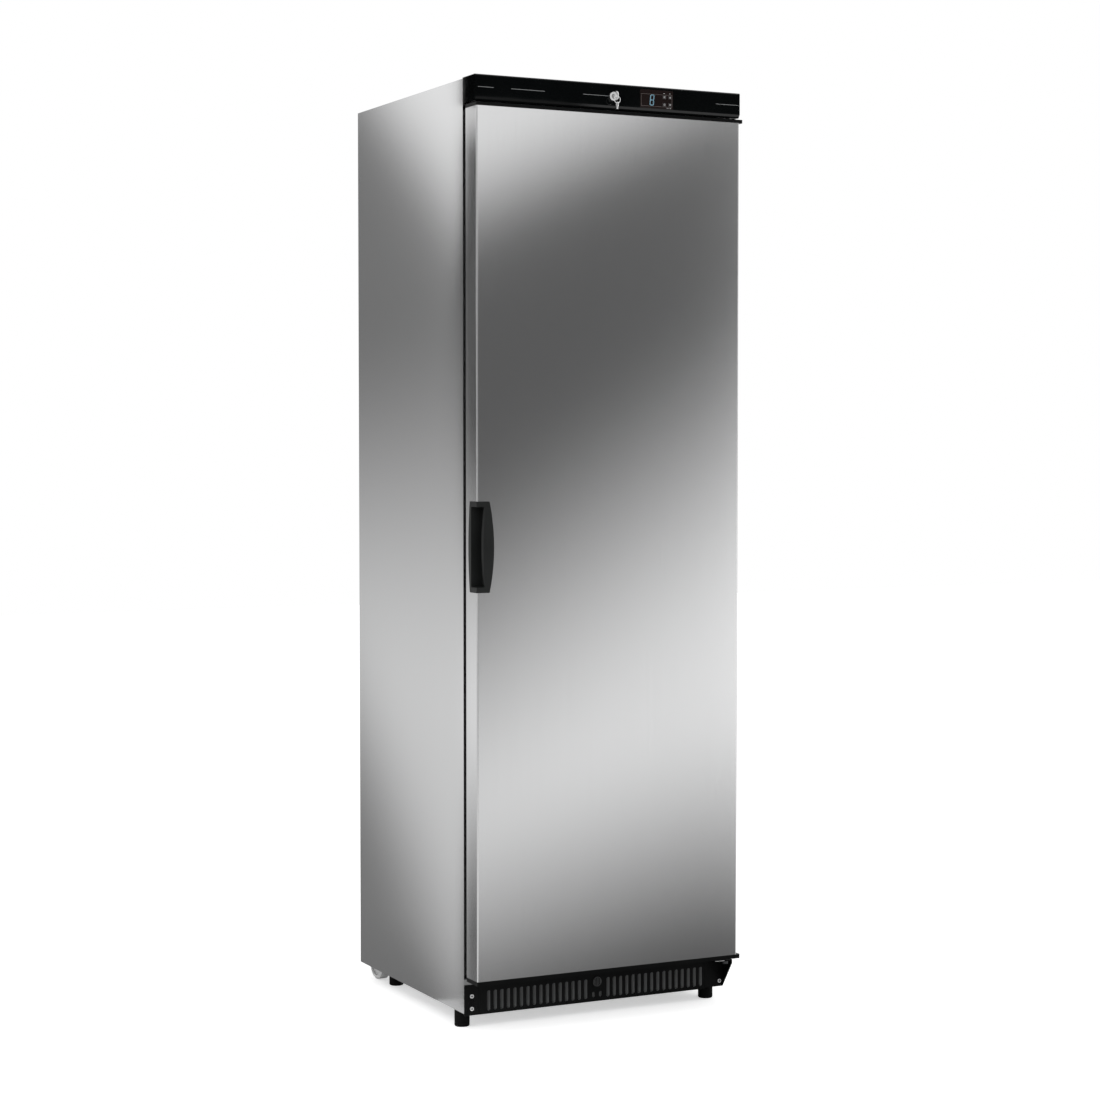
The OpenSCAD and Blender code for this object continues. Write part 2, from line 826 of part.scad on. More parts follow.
module door_skin() {
    color(steel) difference() {
        translate([0, 0, skin_z0]) linear_extrude(skin_z1 - skin_z0) difference() {
            leaf2d(0);
            difference() {
                leaf2d(sheet_t);
                rect(door_x0, door_x1, panel_y, door_back_y + 1);
            }
            rect(door_x0 + fold_w, door_x1 - fold_w, panel_y - 1, door_back_y + 1);
        }
        handle_notch(0);
    }
}

module frame_block(x, z0, z1, w, y0, y1) {
    along_y(y0, y1) difference() {
        rect(-x, x, z0, z1);
        rect(-x + w, x - w, z0 + w, z1 - w);
    }
}

module door_foam() {
    c = sheet_t + 0.2;
    strip_x1 = bead_x - panel_t;
    strip_x0 = bead_x - bead_w + panel_t;
    y0 = panel_y - panel_t + loose;
    y1 = bead_y - panel_t;
    z0 = bead_z0 + panel_t;
    z1 = bead_z1 - panel_t;
    color(foam) {
        difference() {
            translate([0, 0, skin_z0 + cap_plug]) linear_extrude(skin_z1 - skin_z0 - 2 * cap_plug)
                intersection() {
                    leaf2d(c);
                    rect(door_x0, door_x1, front_y, panel_y - panel_t);
                }
            handle_notch(loose);
            rod_z(hinge_x, hinge_y, bush_r + 1, door_z0, door_z0 + bush_l + 4);
            rod_z(hinge_x, hinge_y, bush_r + 1, door_z1 - bush_l - 4, door_z1);
        }
        // strips that fill the bead
        both_sides() block(strip_x0, strip_x1, y0, y1, z0, z1);
        for (z = [z0, z1 - strip_x1 + strip_x0]) {
            block(-strip_x0 + loose, strip_x0 - loose, y0, y1, z, z + strip_x1 - strip_x0);
        }
    }
}

module door_inner_panel() {
    c = sheet_t + 0.1;
    color(white) difference() {
        union() {
            block(door_x0 + c, door_x1 - c, panel_y - panel_t, panel_y, skin_z0, skin_z1);
            frame_block(bead_x, bead_z0, bead_z1, bead_w, panel_y - panel_t, bead_y);
        }
        frame_block(bead_x - panel_t, bead_z0 + panel_t, bead_z1 - panel_t,
            bead_w - 2 * panel_t, panel_y - panel_t - 1, bead_y - panel_t);
    }
}

module door_gasket() {
    head_y = carc_y - loose;
    color([0.28, 0.28, 0.28]) {
        frame_block(seal_x, seal_z0 - seal_w, seal_z1 + seal_w, seal_w, panel_y, panel_y + 3);
        frame_block(seal_x - 5, seal_z0 - seal_w + 5, seal_z1 + seal_w - 5, seal_w - 10,
            panel_y + 3 - eps, head_y - 3 + eps);
        frame_block(seal_x - 1, seal_z0 - seal_w + 1, seal_z1 + seal_w - 1, seal_w - 2, head_y - 3, head_y);
    }
}

// Plan of an end cap with its ear at the hinge side
module cap2d() {
    r = 4;
    leaf2d(0);
    ear_x = door_x1 + ear_out;
    rect(door_x1 - 20, ear_x - r, front_y, front_y + ear_d);
    rect(door_x1 - 20, ear_x, front_y + r, front_y + ear_d - r);
    translate([ear_x - r, front_y + r]) circle(r = r);
    translate([ear_x - r, front_y + ear_d - r]) circle(r = r);
}

module cap_plug_block(z0, z1) {
    c = sheet_t + 0.1;
    block(door_x0 + c, door_x1 - c, front_y + sheet_t + 2.2, panel_y - panel_t, z0, z1);
}

module door_top_cap() {
    sweep = cam_l - 3;
    color(black) difference() {
        union() {
            translate([0, 0, skin_z1]) linear_extrude(cap_t) cap2d();
            cap_plug_block(skin_z1 - cap_plug, skin_z1 + eps);
        }
        rod_z(hinge_x, hinge_y, bush_r, door_z1 - bush_l - 1, door_z1 + 1);
        block(lock_x - cam_w / 2 - 3, lock_x + sweep, plug_y1 - 1.3, plug_y1 + cam_t + 1.3,
            lock_z - cam_l - 3, door_z1 + 1);
    }
}

module door_bottom_cap() {
    color(black) difference() {
        union() {
            translate([0, 0, door_z0]) linear_extrude(skin_z0 - door_z0) cap2d();
            cap_plug_block(skin_z0 - eps, skin_z0 + cap_plug);
        }
        rod_z(hinge_x, hinge_y, bush_r, door_z0 - 1, door_z0 + bush_l + 1);
    }
}

// Radius of the arc through the handle's ends that bows out by b in the middle
function arc_r(b) = (handle_l * handle_l / 4 + b * b) / (2 * b);

// The side of that arc that lies towards +u, with its ends at u = edge
module bow_plus2d(edge, b, inner) {
    r = arc_r(b);
    intersection() {
        translate([edge + b - r, (handle_z0 + handle_z1) / 2]) circle(r = r, $fn = 200);
        rect(inner, edge + b + 1, handle_z0, handle_z1);
    }
}

// The handle's outline on the door's side, in (y, z)
module handle_side2d() {
    intersection() {
        bow_plus2d(handle_y1, handle_bow, handle_y0 - grip_bow);
        mirror([1, 0]) bow_plus2d(-handle_y0, grip_bow - handle_rim, -handle_y1 - handle_bow);
    }
}

module door_handle() {
    x_in = handle_x1 - notch - loose;
    y_in = handle_y1 - notch - loose;
    bar_x = door_x0 + pocket_w;
    mouth_x = bar_x + handle_bow;
    mid_z = (handle_z0 + handle_z1) / 2;
    bar_y = front_y + grip_t - handle_rim;
    color(black) difference() {
        union() {
            // rim on the front, with the bowed grip
            intersection() {
                along_y(handle_y0 - grip_bow, front_y) bow_plus2d(handle_x1, handle_bow, handle_x0);
                along_x(handle_x0, handle_x1 + handle_bow) handle_side2d();
            }
            // rim on the side
            along_x(handle_x0, door_x0) handle_side2d();
            // tub that goes into the door
            block(door_x0 - eps, x_in, front_y - eps, y_in,
                handle_z0 + notch + loose, handle_z1 - notch - loose);
        }
        // finger pocket behind the grip
        block(handle_x0 - 1, x_in - pocket_wall, bar_y, front_y + pocket_d, pocket_z0, pocket_z1);
        // mouth of the pocket on the front, wider towards its ends
        along_y(handle_y0 - grip_bow - 1, bar_y + 1) difference() {
            rect(handle_x0 - 1, mouth_x, pocket_z0, pocket_z1);
            translate([bar_x + arc_r(handle_bow), mid_z]) circle(r = arc_r(handle_bow), $fn = 200);
        }
    }
}

// Base

module kick_grille() {
    x0 = -cab_x + corner_w;
    mid_z = slot_z + slot_h / 2;
    vane = 9;
    vane_t = 1.2;
    vane_turn = 40;
    boss_r = 10.5;
    boss_z = mid_z + 14;
    small_x = 8;
    small_w = 6.5;
    small_h = 11.6;
    color(black) {
        along_y(carc_y - kick_t, carc_y) difference() {
            rect(x0, bracket_x, kick_z0, kick_z1);
            for (s = [-1, 1], i = [0 : slot_count - 1]) {
                slot2d(s * (slot_first + i * slot_pitch), mid_z, slot_w, slot_h);
            }
            for (s = [-1, 1]) slot2d(s * small_x, slot_z + 8, small_w, small_h);
        }
        rod_y(0, boss_z, boss_r, carc_y - kick_t - 1, carc_y - kick_t + eps);
        for (s = [-1, 1], i = [0 : slot_count - 1]) {
            x = s * (slot_first + i * slot_pitch) + slot_w / 2 + vane_t;
            translate([x, carc_y - vane_t, mid_z]) rotate([0, 0, vane_turn])
                block(-vane_t, 0, 0, vane, -slot_h / 2, slot_h / 2);
        }
    }
}

module corner_plate() {
    color(black) difference() {
        block(-cab_x, -cab_x + corner_w, carc_y - kick_t, carc_y, kick_z0, kick_z1);
        for (z = screw_z) {
            rod_y(screw_left_x, z, screw_d / 2 + screw_clear, carc_y - kick_t - 1, carc_y + 1);
        }
    }
}

module screw(x, z, face_y) {
    head = 2;
    cross = 2.6;
    cut = 0.5;
    cut_y = face_y - head + 1.1;
    difference() {
        union() {
            rod_y(x, z, screw_head_d / 2, face_y - head, face_y);
            rod_y(x, z, screw_d / 2, face_y - eps, carc_y + screw_in);
        }
        block(x - cross, x + cross, face_y - head - 1, cut_y, z - cut, z + cut);
        block(x - cut, x + cut, face_y - head - 1, cut_y, z - cross, z + cross);
    }
}

module base_screws() {
    color(chrome) {
        for (z = screw_z) screw(screw_left_x, z, carc_y - kick_t);
        for (z = screw_right_z) screw(screw_right_x, z, carc_y - bracket_t);
    }
}

module screw_bore(x, z) {
    rod_y(x, z, screw_d / 2 + running, rail_y0 - 1, rail_y0 + nut_d + 1);
}

module foot_socket(p) {
    rod_z(p[0], p[1], stem_d / 2 + 4, panel_z0, panel_z0 + socket_h);
}

module rail_side() {
    x1 = cab_x - sheet_t;
    y1 = fork_y0;
    block(rail_x, x1, rail_y0, y1, panel_z0, panel_z0 + rail_t);
    block(rail_x, rail_x + rail_t, rail_y0, y1, panel_z0, panel_z0 + rail_h);
    block(x1 - rail_t, x1, rail_y0, y1, panel_z0, panel_z0 + rail_h);
    foot_socket(foot_front);
    foot_socket(foot_rear);
    // nut block for the front screws
    block(rail_x, x1, rail_y0, rail_y0 + nut_d, panel_z0, panel_z0 + nut_h);
    // bridge and fork over the wheel
    block(fork_x0, x1, fork_y0, fork_y1, fork_z, fork_z + fork_t);
    for (x = [fork_x0, fork_x1]) {
        block(x, x + fork_t, fork_y0, fork_y1, wheel_cz - 10, fork_z + eps);
    }
    block(fork_x0, x1, fork_y0 - rail_t, fork_y0 + eps, panel_z0, fork_z + fork_t);
}

module base_frame() {
    axle_x0 = fork_x0 - 4;
    axle_x1 = fork_x1 + fork_t + 3;
    collar_r = axle_d / 2 + 2.5;
    beam_x = rail_x + eps;
    beam_y1 = rail_y0 + 40;
    lip_z1 = panel_z0 + 10;
    color(zinc) {
        difference() {
            union() {
                both_sides() rail_side();
                block(-beam_x, beam_x, rail_y0, beam_y1, panel_z0, pan_z);
                block(-beam_x, beam_x, beam_y1 - rail_t, beam_y1, panel_z0, lip_z1);
                block(-beam_x, beam_x, machine_y, foot_rear[1] + 20, panel_z0, pan_z);
                block(-pan_x, pan_x, machine_y, back_y - 10, panel_z0, pan_z);
            }
            both_sides() {
                for (p = [foot_front, foot_rear]) {
                    rod_z(p[0], p[1], stem_d / 2 + running, panel_z0 - 1, panel_z0 + socket_h + 1);
                }
                rod_x(wheel_cy, wheel_cz, axle_d / 2 + running, axle_x0 - 1, axle_x1 + 1);
            }
            for (z = screw_z) screw_bore(screw_left_x, z);
            for (z = screw_right_z) screw_bore(screw_right_x, z);
        }
        both_sides() {
            rod_x(wheel_cy, wheel_cz, axle_d / 2, axle_x0, axle_x1);
            rod_x(wheel_cy, wheel_cz, collar_r, axle_x0 - 2, fork_x0);
            rod_x(wheel_cy, wheel_cz, collar_r, fork_x1 + fork_t, axle_x1);
        }
    }
}

module foot(p) {
    edge = 2;
    color(black) translate([p[0], p[1], 0]) {
        cylinder(d1 = foot_d - 1.5 * edge, d2 = foot_d, h = edge);
        translate([0, 0, edge - eps]) cylinder(d = foot_d, h = panel_z0 - loose - edge + eps);
        translate([0, 0, edge]) cylinder(d = stem_d, h = stem_z - edge);
    }
}

module foot_front_left() { foot([-foot_front[0], foot_front[1]]); }
module foot_front_right() { foot(foot_front); }
module foot_rear_left() { foot([-foot_rear[0], foot_rear[1]]); }
module foot_rear_right() { foot(foot_rear); }

module wheel() {
    r = wheel_d / 2;
    w = wheel_w;
    hub = axle_d / 2 + 10;
    rim = r - 8;
    dish = 4;
    edge = 2;
    color([0.35, 0.35, 0.35]) translate([wheel_x0, wheel_cy, wheel_cz]) rotate([0, 90, 0]) difference() {
        rotate_extrude($fn = 96) polygon([
            [0, 0], [hub, 0], [hub, dish], [rim, dish], [rim, 0], [r - edge, 0], [r, edge],
            [r, w - edge], [r - edge, w], [rim, w], [rim, w - dish],
            [hub, w - dish], [hub, w], [0, w]
        ]);
        translate([0, 0, -1]) cylinder(r = axle_d / 2 + running, h = wheel_w + 2);
    }
}

module wheel_left() { mirror([1, 0, 0]) wheel(); }
module wheel_right() { wheel(); }

module rear_cover() {
    x = cab_x - rear_lip - 0.5;
    z0 = panel_z0 + 6;
    z1 = machine_z - 0.5;
    vent_x = comp_x - 220;
    vent_z = z0 + 40;
    vent_w = 18;
    vent_h = 70;
    pitch_x = 30;
    pitch_z = 90;
    color(zinc) along_y(back_y - sheet_t, back_y) difference() {
        rect(-x, x, z0, z1);
        for (i = [0 : 11], j = [0, 1]) {
            translate([vent_x + i * pitch_x, vent_z + j * pitch_z]) square([vent_w, vent_h]);
        }
        translate([inlet_x, inlet_z]) circle(d = gland_d + 2 * screw_clear);
    }
}

module power_inlet() {
    y1 = back_y;
    nut_r = 12;
    neck_r = 9.5;
    length_in = 12;
    length_out = 8;
    color(black) difference() {
        union() {
            rod_y(inlet_x, inlet_z, gland_d / 2, y1 - length_in, y1 + 2);
            rod_y(inlet_x, inlet_z, nut_r, y1, y1 + 3.5, $fn = 6);
            rod_y(inlet_x, inlet_z, neck_r, y1 + 3, y1 + length_out);
            rod_y(inlet_x, inlet_z, nut_r, y1 - sheet_t - 4, y1 - sheet_t, $fn = 6);
        }
        rod_y(inlet_x, inlet_z, cord_hole_d / 2, y1 - length_in - 1, y1 + length_out + 1);
    }
}

// Shelves

module strip(y) {
    web_x = room_x - strip_d;
    w = strip_w / 2;
    translate([0, y, 0]) {
        translate([web_x + strip_t, 0, 0]) rotate([90, 0, -90]) linear_extrude(strip_t) difference() {
            rect(-w, w, strip_z0, strip_z1);
            for (z = [slot_z0 : strip_pitch : strip_z1 - strip_pitch]) rect(-6, 6, z - 2, z + 2);
        }
        for (s = [-1, 1]) {
            y0 = s > 0 ? w - strip_t : -w;
            block(web_x, room_x, y0, y0 + strip_t, strip_z0, strip_z1);
        }
    }
}

// Height of the clips of shelf i, snapped to the slots of the strips
function slot_height(i) =
    slot_z0 + strip_pitch * round((step_z + shelf_first + i * shelf_pitch - slot_z0) / strip_pitch);
function shelf_z(i) = slot_height(i) + 1.5 + loose + shelf_wire / 2;

module clip(y, z) {
    web_x = room_x - strip_d;
    block(web_x - 16, web_x + eps, y - 9, y + 9, z - 1.5, z + 1.5);
    block(web_x, web_x + strip_d - 0.5, y - 5, y + 5, z - 1.5, z + 1.5);
    block(web_x - 1.5, web_x, y - 9, y + 9, z - 12, z - 1.5 + eps);
}

module shelf_supports() {
    color(zinc) both_sides() {
        for (y = strip_y) {
            strip(y);
            for (i = [0 : 2]) clip(y, slot_height(i));
        }
    }
}

module shelf(i) {
    z = shelf_z(i);
    r = shelf_wire / 2;
    f = shelf_fine / 2;
    color([0.78, 0.79, 0.8]) {
        for (s = [-1, 1]) rod_y(s * shelf_x, z, r, shelf_y0 + r, shelf_y1 - r);
        for (y = [shelf_y0 + r, shelf_y1 - r]) rod_x(y, z, r, -shelf_x, shelf_x);
        for (s = [-1, 1], y = [shelf_y0 + r, shelf_y1 - r]) translate([s * shelf_x, y, z]) sphere(r = r);
        for (k = [1 : shelf_wires]) {
            x = -shelf_x + 2 * shelf_x * k / (shelf_wires + 1);
            rod_y(x, z + r - f, f, shelf_y0 + r, shelf_y1 - r, $fn = 16);
        }
        for (k = [1, 2]) {
            rod_x(shelf_y0 + (shelf_y1 - shelf_y0) * k / 3, z - f, f, -shelf_x, shelf_x);
        }
    }
}

module shelf_1() { shelf(0); }
module shelf_2() { shelf(1); }
module shelf_3() { shelf(2); }

module interior_lamp() {
    lamp_x = 90;
    lamp_d = 38;
    lamp_h = 22;
    y0 = carc_y + 40;
    shoulder_z = room_z1 - lamp_h + 6;
    color([0.95, 0.95, 0.9]) along_x(-lamp_x, lamp_x) polygon([
        [y0, room_z1], [y0 + 4, shoulder_z], [y0 + 16, room_z1 - lamp_h],
        [y0 + lamp_d - 4, shoulder_z], [y0 + lamp_d, room_z1]
    ]);
}

// Cooling

module fan(x, y, z) {
    r = fan_d / 2;
    hub_r = 18;
    blade_t = 1.6;
    blade_turn = 28;
    color(dark) {
        difference() {
            union() {
                rod_y(x, z, hub_r, y, y + fan_t);
                intersection() {
                    rod_y(x, z, r, y, y + fan_t);
                    union() for (i = [0 : fan_blades - 1]) {
                        translate([x, y + fan_t / 2, z]) rotate([0, i * 360 / fan_blades, 0])
                            translate([r / 2, 0, 0]) rotate([blade_turn, 0, 0])
                                cube([r, blade_t, r * 0.62], center = true);
                    }
                }
            }
            rod_y(x, z, shaft_d / 2 - 1, y - 1, y + fan_t + 1);
        }
        rod_y(x, z, shaft_d / 2, y + fan_t / 2, y + fan_t + 16);
    }
}

module evaporator_fan() { fan(0, evap_fan_y, evap_fan_z); }
module condenser_fan() { fan(cond_fan_x, cond_fan_y, cond_fan_z); }

module motor(x, y, z) {
    difference() {
        rod_y(x, z, motor_d / 2, y, y + motor_l);
        rod_y(x, z, shaft_d / 2 + running, y - 1, y + 16);
    }
}

// Two arms that hold a motor across its fan's opening, from plane y on
module arms(y, z, reach) {
    x0 = motor_d / 2 - 4;
    both_sides() block(x0, reach, y, y + arm_t, z - arm_w / 2, z + arm_w / 2);
}

module fan_motors() {
    evap_motor_y = evap_fan_y + fan_t + 4;
    cond_motor_y = cond_fan_y + fan_t + 4;
    stand_x = 10;
    stand_y = cond_motor_y + motor_l - 6;
    stand_l = 40;
    color([0.3, 0.32, 0.35]) {
        motor(0, evap_motor_y, evap_fan_z);
        arms(evap_motor_y + 10, evap_fan_z, evap_x - evap_t);
        motor(cond_fan_x, cond_motor_y, cond_fan_z);
        // the condenser fan's motor stands on an angle
        translate([cond_fan_x, stand_y, pan_z]) {
            block(-stand_x, stand_x, 0, arm_t, 0, cond_fan_z - pan_z - motor_d / 2 + 6);
            block(-stand_x, stand_x, 0, stand_l, 0, arm_t);
        }
    }
}

module evaporator_cover() {
    t = evap_t;
    y1 = evap_y0 + t + loose;
    fan_r = fan_d / 2;
    wire_w = 2.5;
    slot_x = evap_x / 7;
    color([0.9, 0.9, 0.9]) {
        // front with the fan's grille
        difference() {
            block(-evap_x, evap_x, evap_y0, evap_y0 + t, evap_z0, room_z1);
            difference() {
                rod_y(0, evap_fan_z, fan_r + 4, evap_y0 - 1, evap_y0 + t + 1);
                for (r = [fan_r - 48, fan_r - 30, fan_r - 12]) difference() {
                    rod_y(0, evap_fan_z, r, evap_y0 - 2, evap_y0 + t + 2);
                    rod_y(0, evap_fan_z, r - wire_w, evap_y0 - 3, evap_y0 + t + 3);
                }
                for (a = [0, 60, 120]) translate([0, evap_y0, evap_fan_z]) rotate([0, a, 0])
                    cube([fan_d + 20, 8, 3], center = true);
            }
        }
        // end plates
        both_sides() block(evap_x - t, evap_x, y1, room_y1, evap_z0, room_z1);
        // drip tray under the coil, with its air slots
        difference() {
            block(-evap_x + t + loose, evap_x - t - loose, y1, room_y1, evap_z0, evap_z0 + t);
            for (i = [-6 : 6]) {
                block(slot_x * (i - 1 / 3), slot_x * (i + 1 / 3), evap_y0 + 30, evap_y0 + 100,
                    evap_z0 - 1, evap_z0 + t + 1);
            }
        }
    }
}

// A finned coil from x0 to x0 + w, with straight tubes through all fins
module coil(x0, w, y0, d, z0, h, foot) {
    tube_r = 4;
    for (x = [x0, x0 + w - 1.5]) block(x, x + 1.5, y0 - 1, y0 + d + 1, z0 - foot, z0 + h);
    for (k = [1 : fin_count]) {
        x = x0 + w * k / (fin_count + 1);
        block(x - 0.3, x + 0.3, y0, y0 + d, z0, z0 + h);
    }
    for (j = [0 : 3], i = [0, 1]) {
        rod_x(y0 + d * (0.3 + 0.4 * i), z0 + h * (j + 0.5) / 4, tube_r, x0 - 6, x0 + w + 6, $fn = 24);
    }
}

module evaporator_coil() {
    color([0.75, 0.77, 0.8]) {
        coil(-coil_x, 2 * coil_x, coil_y0, coil_d, coil_z0, coil_h, 0);
        both_sides() translate([coil_x - 40, 0, 0])
            block(-8, 8, coil_y0 + 10, coil_y0 + coil_d - 10, coil_z0 + coil_h - eps, room_z1);
    }
}

module condenser_coil() {
    color([0.25, 0.25, 0.25])
        coil(cond_x0 + 8, cond_w - 16, cond_y0, cond_d - 1, cond_z0, cond_h, cond_z0 - pan_z);
}

module condenser_shroud() {
    t = 1.5;
    color(black) difference() {
        block(cond_x0, cond_x0 + cond_w, shroud_y, shroud_y + fan_t + 2, pan_z, cond_z0 + cond_h);
        block(cond_x0 + t, cond_x0 + cond_w - t, shroud_y + t, shroud_y + fan_t + 3,
            pan_z - 1, cond_z0 + cond_h - t);
        rod_y(cond_fan_x, cond_fan_z, fan_d / 2 + 2, shroud_y - 1, shroud_y + fan_t);
    }
}

module compressor() {
    r = comp_d / 2;
    color(black) {
        translate([comp_x, comp_y, comp_z]) rotate_extrude($fn = 96) polygon([
            [0, 0], [r - 14, 0], [r - 4, 6], [r, 18], [r, comp_h * 0.45], [r + 3, comp_h * 0.45],
            [r + 3, comp_h * 0.5], [r, comp_h * 0.5], [r, comp_h - 34], [r - 8, comp_h - 14],
            [r - 30, comp_h - 3], [r - 50, comp_h], [0, comp_h]
        ]);
        block(comp_x - r - 6, comp_x + r + 6, comp_y - r + 10, comp_y + r - 10, comp_z - 3, comp_z + eps);
        block(comp_x + r - 6, comp_x + r + 30, comp_y - 28, comp_y + 28, comp_z + 50, comp_z + 120);
    }
}

module compressor_mounts() {
    r = comp_d / 2;
    color(rubber) for (sx = [-1, 1], sy = [-1, 1]) {
        rod_z(comp_x + sx * (r - 6), comp_y + sy * (r - 20), 8, pan_z, pan_z + mount_h);
    }
}

module drain_parts() {
    tray_x = comp_d / 2 - 5;
    tray_y = comp_d / 2 - 15;
    tray_z = comp_top;
    tray_h = 26;
    t = 2;
    spout_z = tray_z + 12;
    color(white) {
        translate([comp_x, comp_y, tray_z]) difference() {
            block(-tray_x, tray_x, -tray_y, tray_y, 0, tray_h);
            block(t - tray_x, tray_x - t, t - tray_y, tray_y - t, t, tray_h + 1);
        }
        difference() {
            union() {
                rod_z(drain_x, comp_y, drain_d / 2, spout_z, step_z);
                rod_z(drain_x, comp_y, drain_d / 2 + 6, step_z, step_z + t);
            }
            rod_z(drain_x, comp_y, drain_d / 2 - t, spout_z - 1, step_z + t + 1);
        }
    }
}

module refrigerant_pipes() {
    r = pipe_d / 2;
    comp_r = comp_d / 2;
    port_z = comp_z + comp_h * 7 / 9;
    shell_y = comp_y + comp_r;
    suction_port_z = comp_z + comp_h / 3;
    bend_x = comp_x - comp_r - 16;
    front_tube_y = cond_y0 + cond_d * 0.3;
    liquid_z = cond_z0 + cond_h * 0.125;
    drier_x = (cond_x0 + cond_w + comp_x - comp_r) / 2 - 14.5;
    drier_r = 11;
    drier_l = 70;
    color(copper) {
        // suction line, up the back wall to the evaporator
        pipe([
            [comp_x, shell_y, suction_port_z], [comp_x, pipe_y, suction_port_z],
            [pipe_x, pipe_y, suction_port_z], [pipe_x, pipe_y, suction_z],
            [pipe_x, coil_y0 + coil_d + 1, suction_z]
        ], r);
        // discharge line, from the compressor to the condenser
        pipe([
            [comp_x - comp_r, comp_y, port_z], [bend_x, comp_y, port_z],
            [bend_x, front_tube_y, port_z],
            [bend_x, front_tube_y, cond_z0 + cond_h * 0.875],
            [cond_x0 + cond_w - 2, front_tube_y, cond_z0 + cond_h * 0.875]
        ], r * 0.8);
        // liquid line with its filter drier
        pipe([
            [cond_x0 + cond_w - 2, front_tube_y, liquid_z],
            [drier_x, front_tube_y, liquid_z], [drier_x, comp_y, liquid_z]
        ], r * 0.8);
        rod_y(drier_x, liquid_z, drier_r, comp_y - eps, comp_y + drier_l);
    }
}

side_panel_left();
side_panel_right();
top_panel();
back_panel();
underside_panel();
front_sill();
insulation_foam();
inner_liner();
header_fascia();
header_chassis();
controller_module();
display_window();
lock_housing();
lower_hinge_bracket();
upper_hinge_bracket();
hinge_pins();
kick_grille();
corner_plate();
base_screws();
base_frame();
compressor();
compressor_mounts();
condenser_coil();
condenser_shroud();
refrigerant_pipes();
evaporator_coil();
evaporator_cover();
fan_motors();
shelf_supports();
drain_parts();
interior_lamp();
power_inlet();
rear_cover();
door_skin();
door_foam();
door_inner_panel();
door_top_cap();
door_bottom_cap();
door_gasket();
door_handle();
hinge_bushes();
lock_plug();
lock_cam();
lock_key();
key_ring();
control_key(0);  // control_key_1
control_key(1);  // control_key_2
control_key(2);  // control_key_3
control_key(3);  // control_key_4
foot_front_left();
foot_front_right();
foot_rear_left();
foot_rear_right();
wheel_left();
wheel_right();
evaporator_fan();
condenser_fan();
shelf_1();
shelf_2();
shelf_3();
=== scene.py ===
"""Looks of the upright meat refrigerator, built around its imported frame. All lengths are metres."""
import math

import bmesh
import bpy
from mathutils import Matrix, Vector


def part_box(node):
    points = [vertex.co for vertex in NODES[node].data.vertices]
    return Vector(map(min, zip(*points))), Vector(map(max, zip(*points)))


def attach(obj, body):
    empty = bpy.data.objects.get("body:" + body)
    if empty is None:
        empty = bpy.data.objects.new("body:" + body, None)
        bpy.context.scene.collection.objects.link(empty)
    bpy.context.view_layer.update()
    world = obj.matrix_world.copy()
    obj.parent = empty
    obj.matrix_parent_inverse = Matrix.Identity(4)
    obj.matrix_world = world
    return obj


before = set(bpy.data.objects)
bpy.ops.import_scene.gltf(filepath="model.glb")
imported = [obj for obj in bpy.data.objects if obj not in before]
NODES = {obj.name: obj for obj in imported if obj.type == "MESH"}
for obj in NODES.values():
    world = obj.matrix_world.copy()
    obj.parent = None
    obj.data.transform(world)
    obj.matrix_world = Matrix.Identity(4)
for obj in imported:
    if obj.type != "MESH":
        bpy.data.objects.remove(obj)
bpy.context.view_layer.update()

MM = 0.001

# Planes and edges of the frame that the looks are placed by
HEADER_LOW, HEADER_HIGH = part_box("header_fascia")
WINDOW_LOW, WINDOW_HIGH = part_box("display_window")
SKIN_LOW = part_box("door_skin")[0]
SIDE_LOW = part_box("side_panel_left")[0]
GRILLE_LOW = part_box("kick_grille")[0]
LOCK_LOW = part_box("lock_housing")[0]
BRACKET_LOW, BRACKET_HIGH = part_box("lower_hinge_bracket")
FRONT_Y = HEADER_LOW.y

# The photograph's camera: its place, its turn about z and its tilt down, and sensor and lens in millimetres
CAMERA_AT = Vector((-2.27565, -4.60177, 1.17066))
CAMERA_YAW = math.radians(26.466)
CAMERA_PITCH = math.radians(2.44)
CAMERA_SENSOR = 36.0
CAMERA_LENS = 78.61
CAMERA_REACH = 100.0


# Node trees

# Numbers of the Mix node's sockets: two colours in and one out, and two plain values in
COLOUR_A, COLOUR_B, COLOUR_OUT = 6, 7, 2
VALUE_A, VALUE_B = 2, 3


class Nodes:
    """A shader node tree, built up a node at a time."""

    def __init__(self, tree):
        self.tree = tree

    def plug(self, socket, value):
        """Joins an output to a socket, or sets the socket to a plain value."""
        if isinstance(value, bpy.types.NodeSocket):
            self.tree.links.new(value, socket)
        else:
            socket.default_value = value

    def add(self, kind, inputs=None, **settings):
        node = self.tree.nodes.new("ShaderNode" + kind)
        for key, value in settings.items():
            setattr(node, key, value)
        for key, value in (inputs or {}).items():
            self.plug(node.inputs[key], value)
        return node


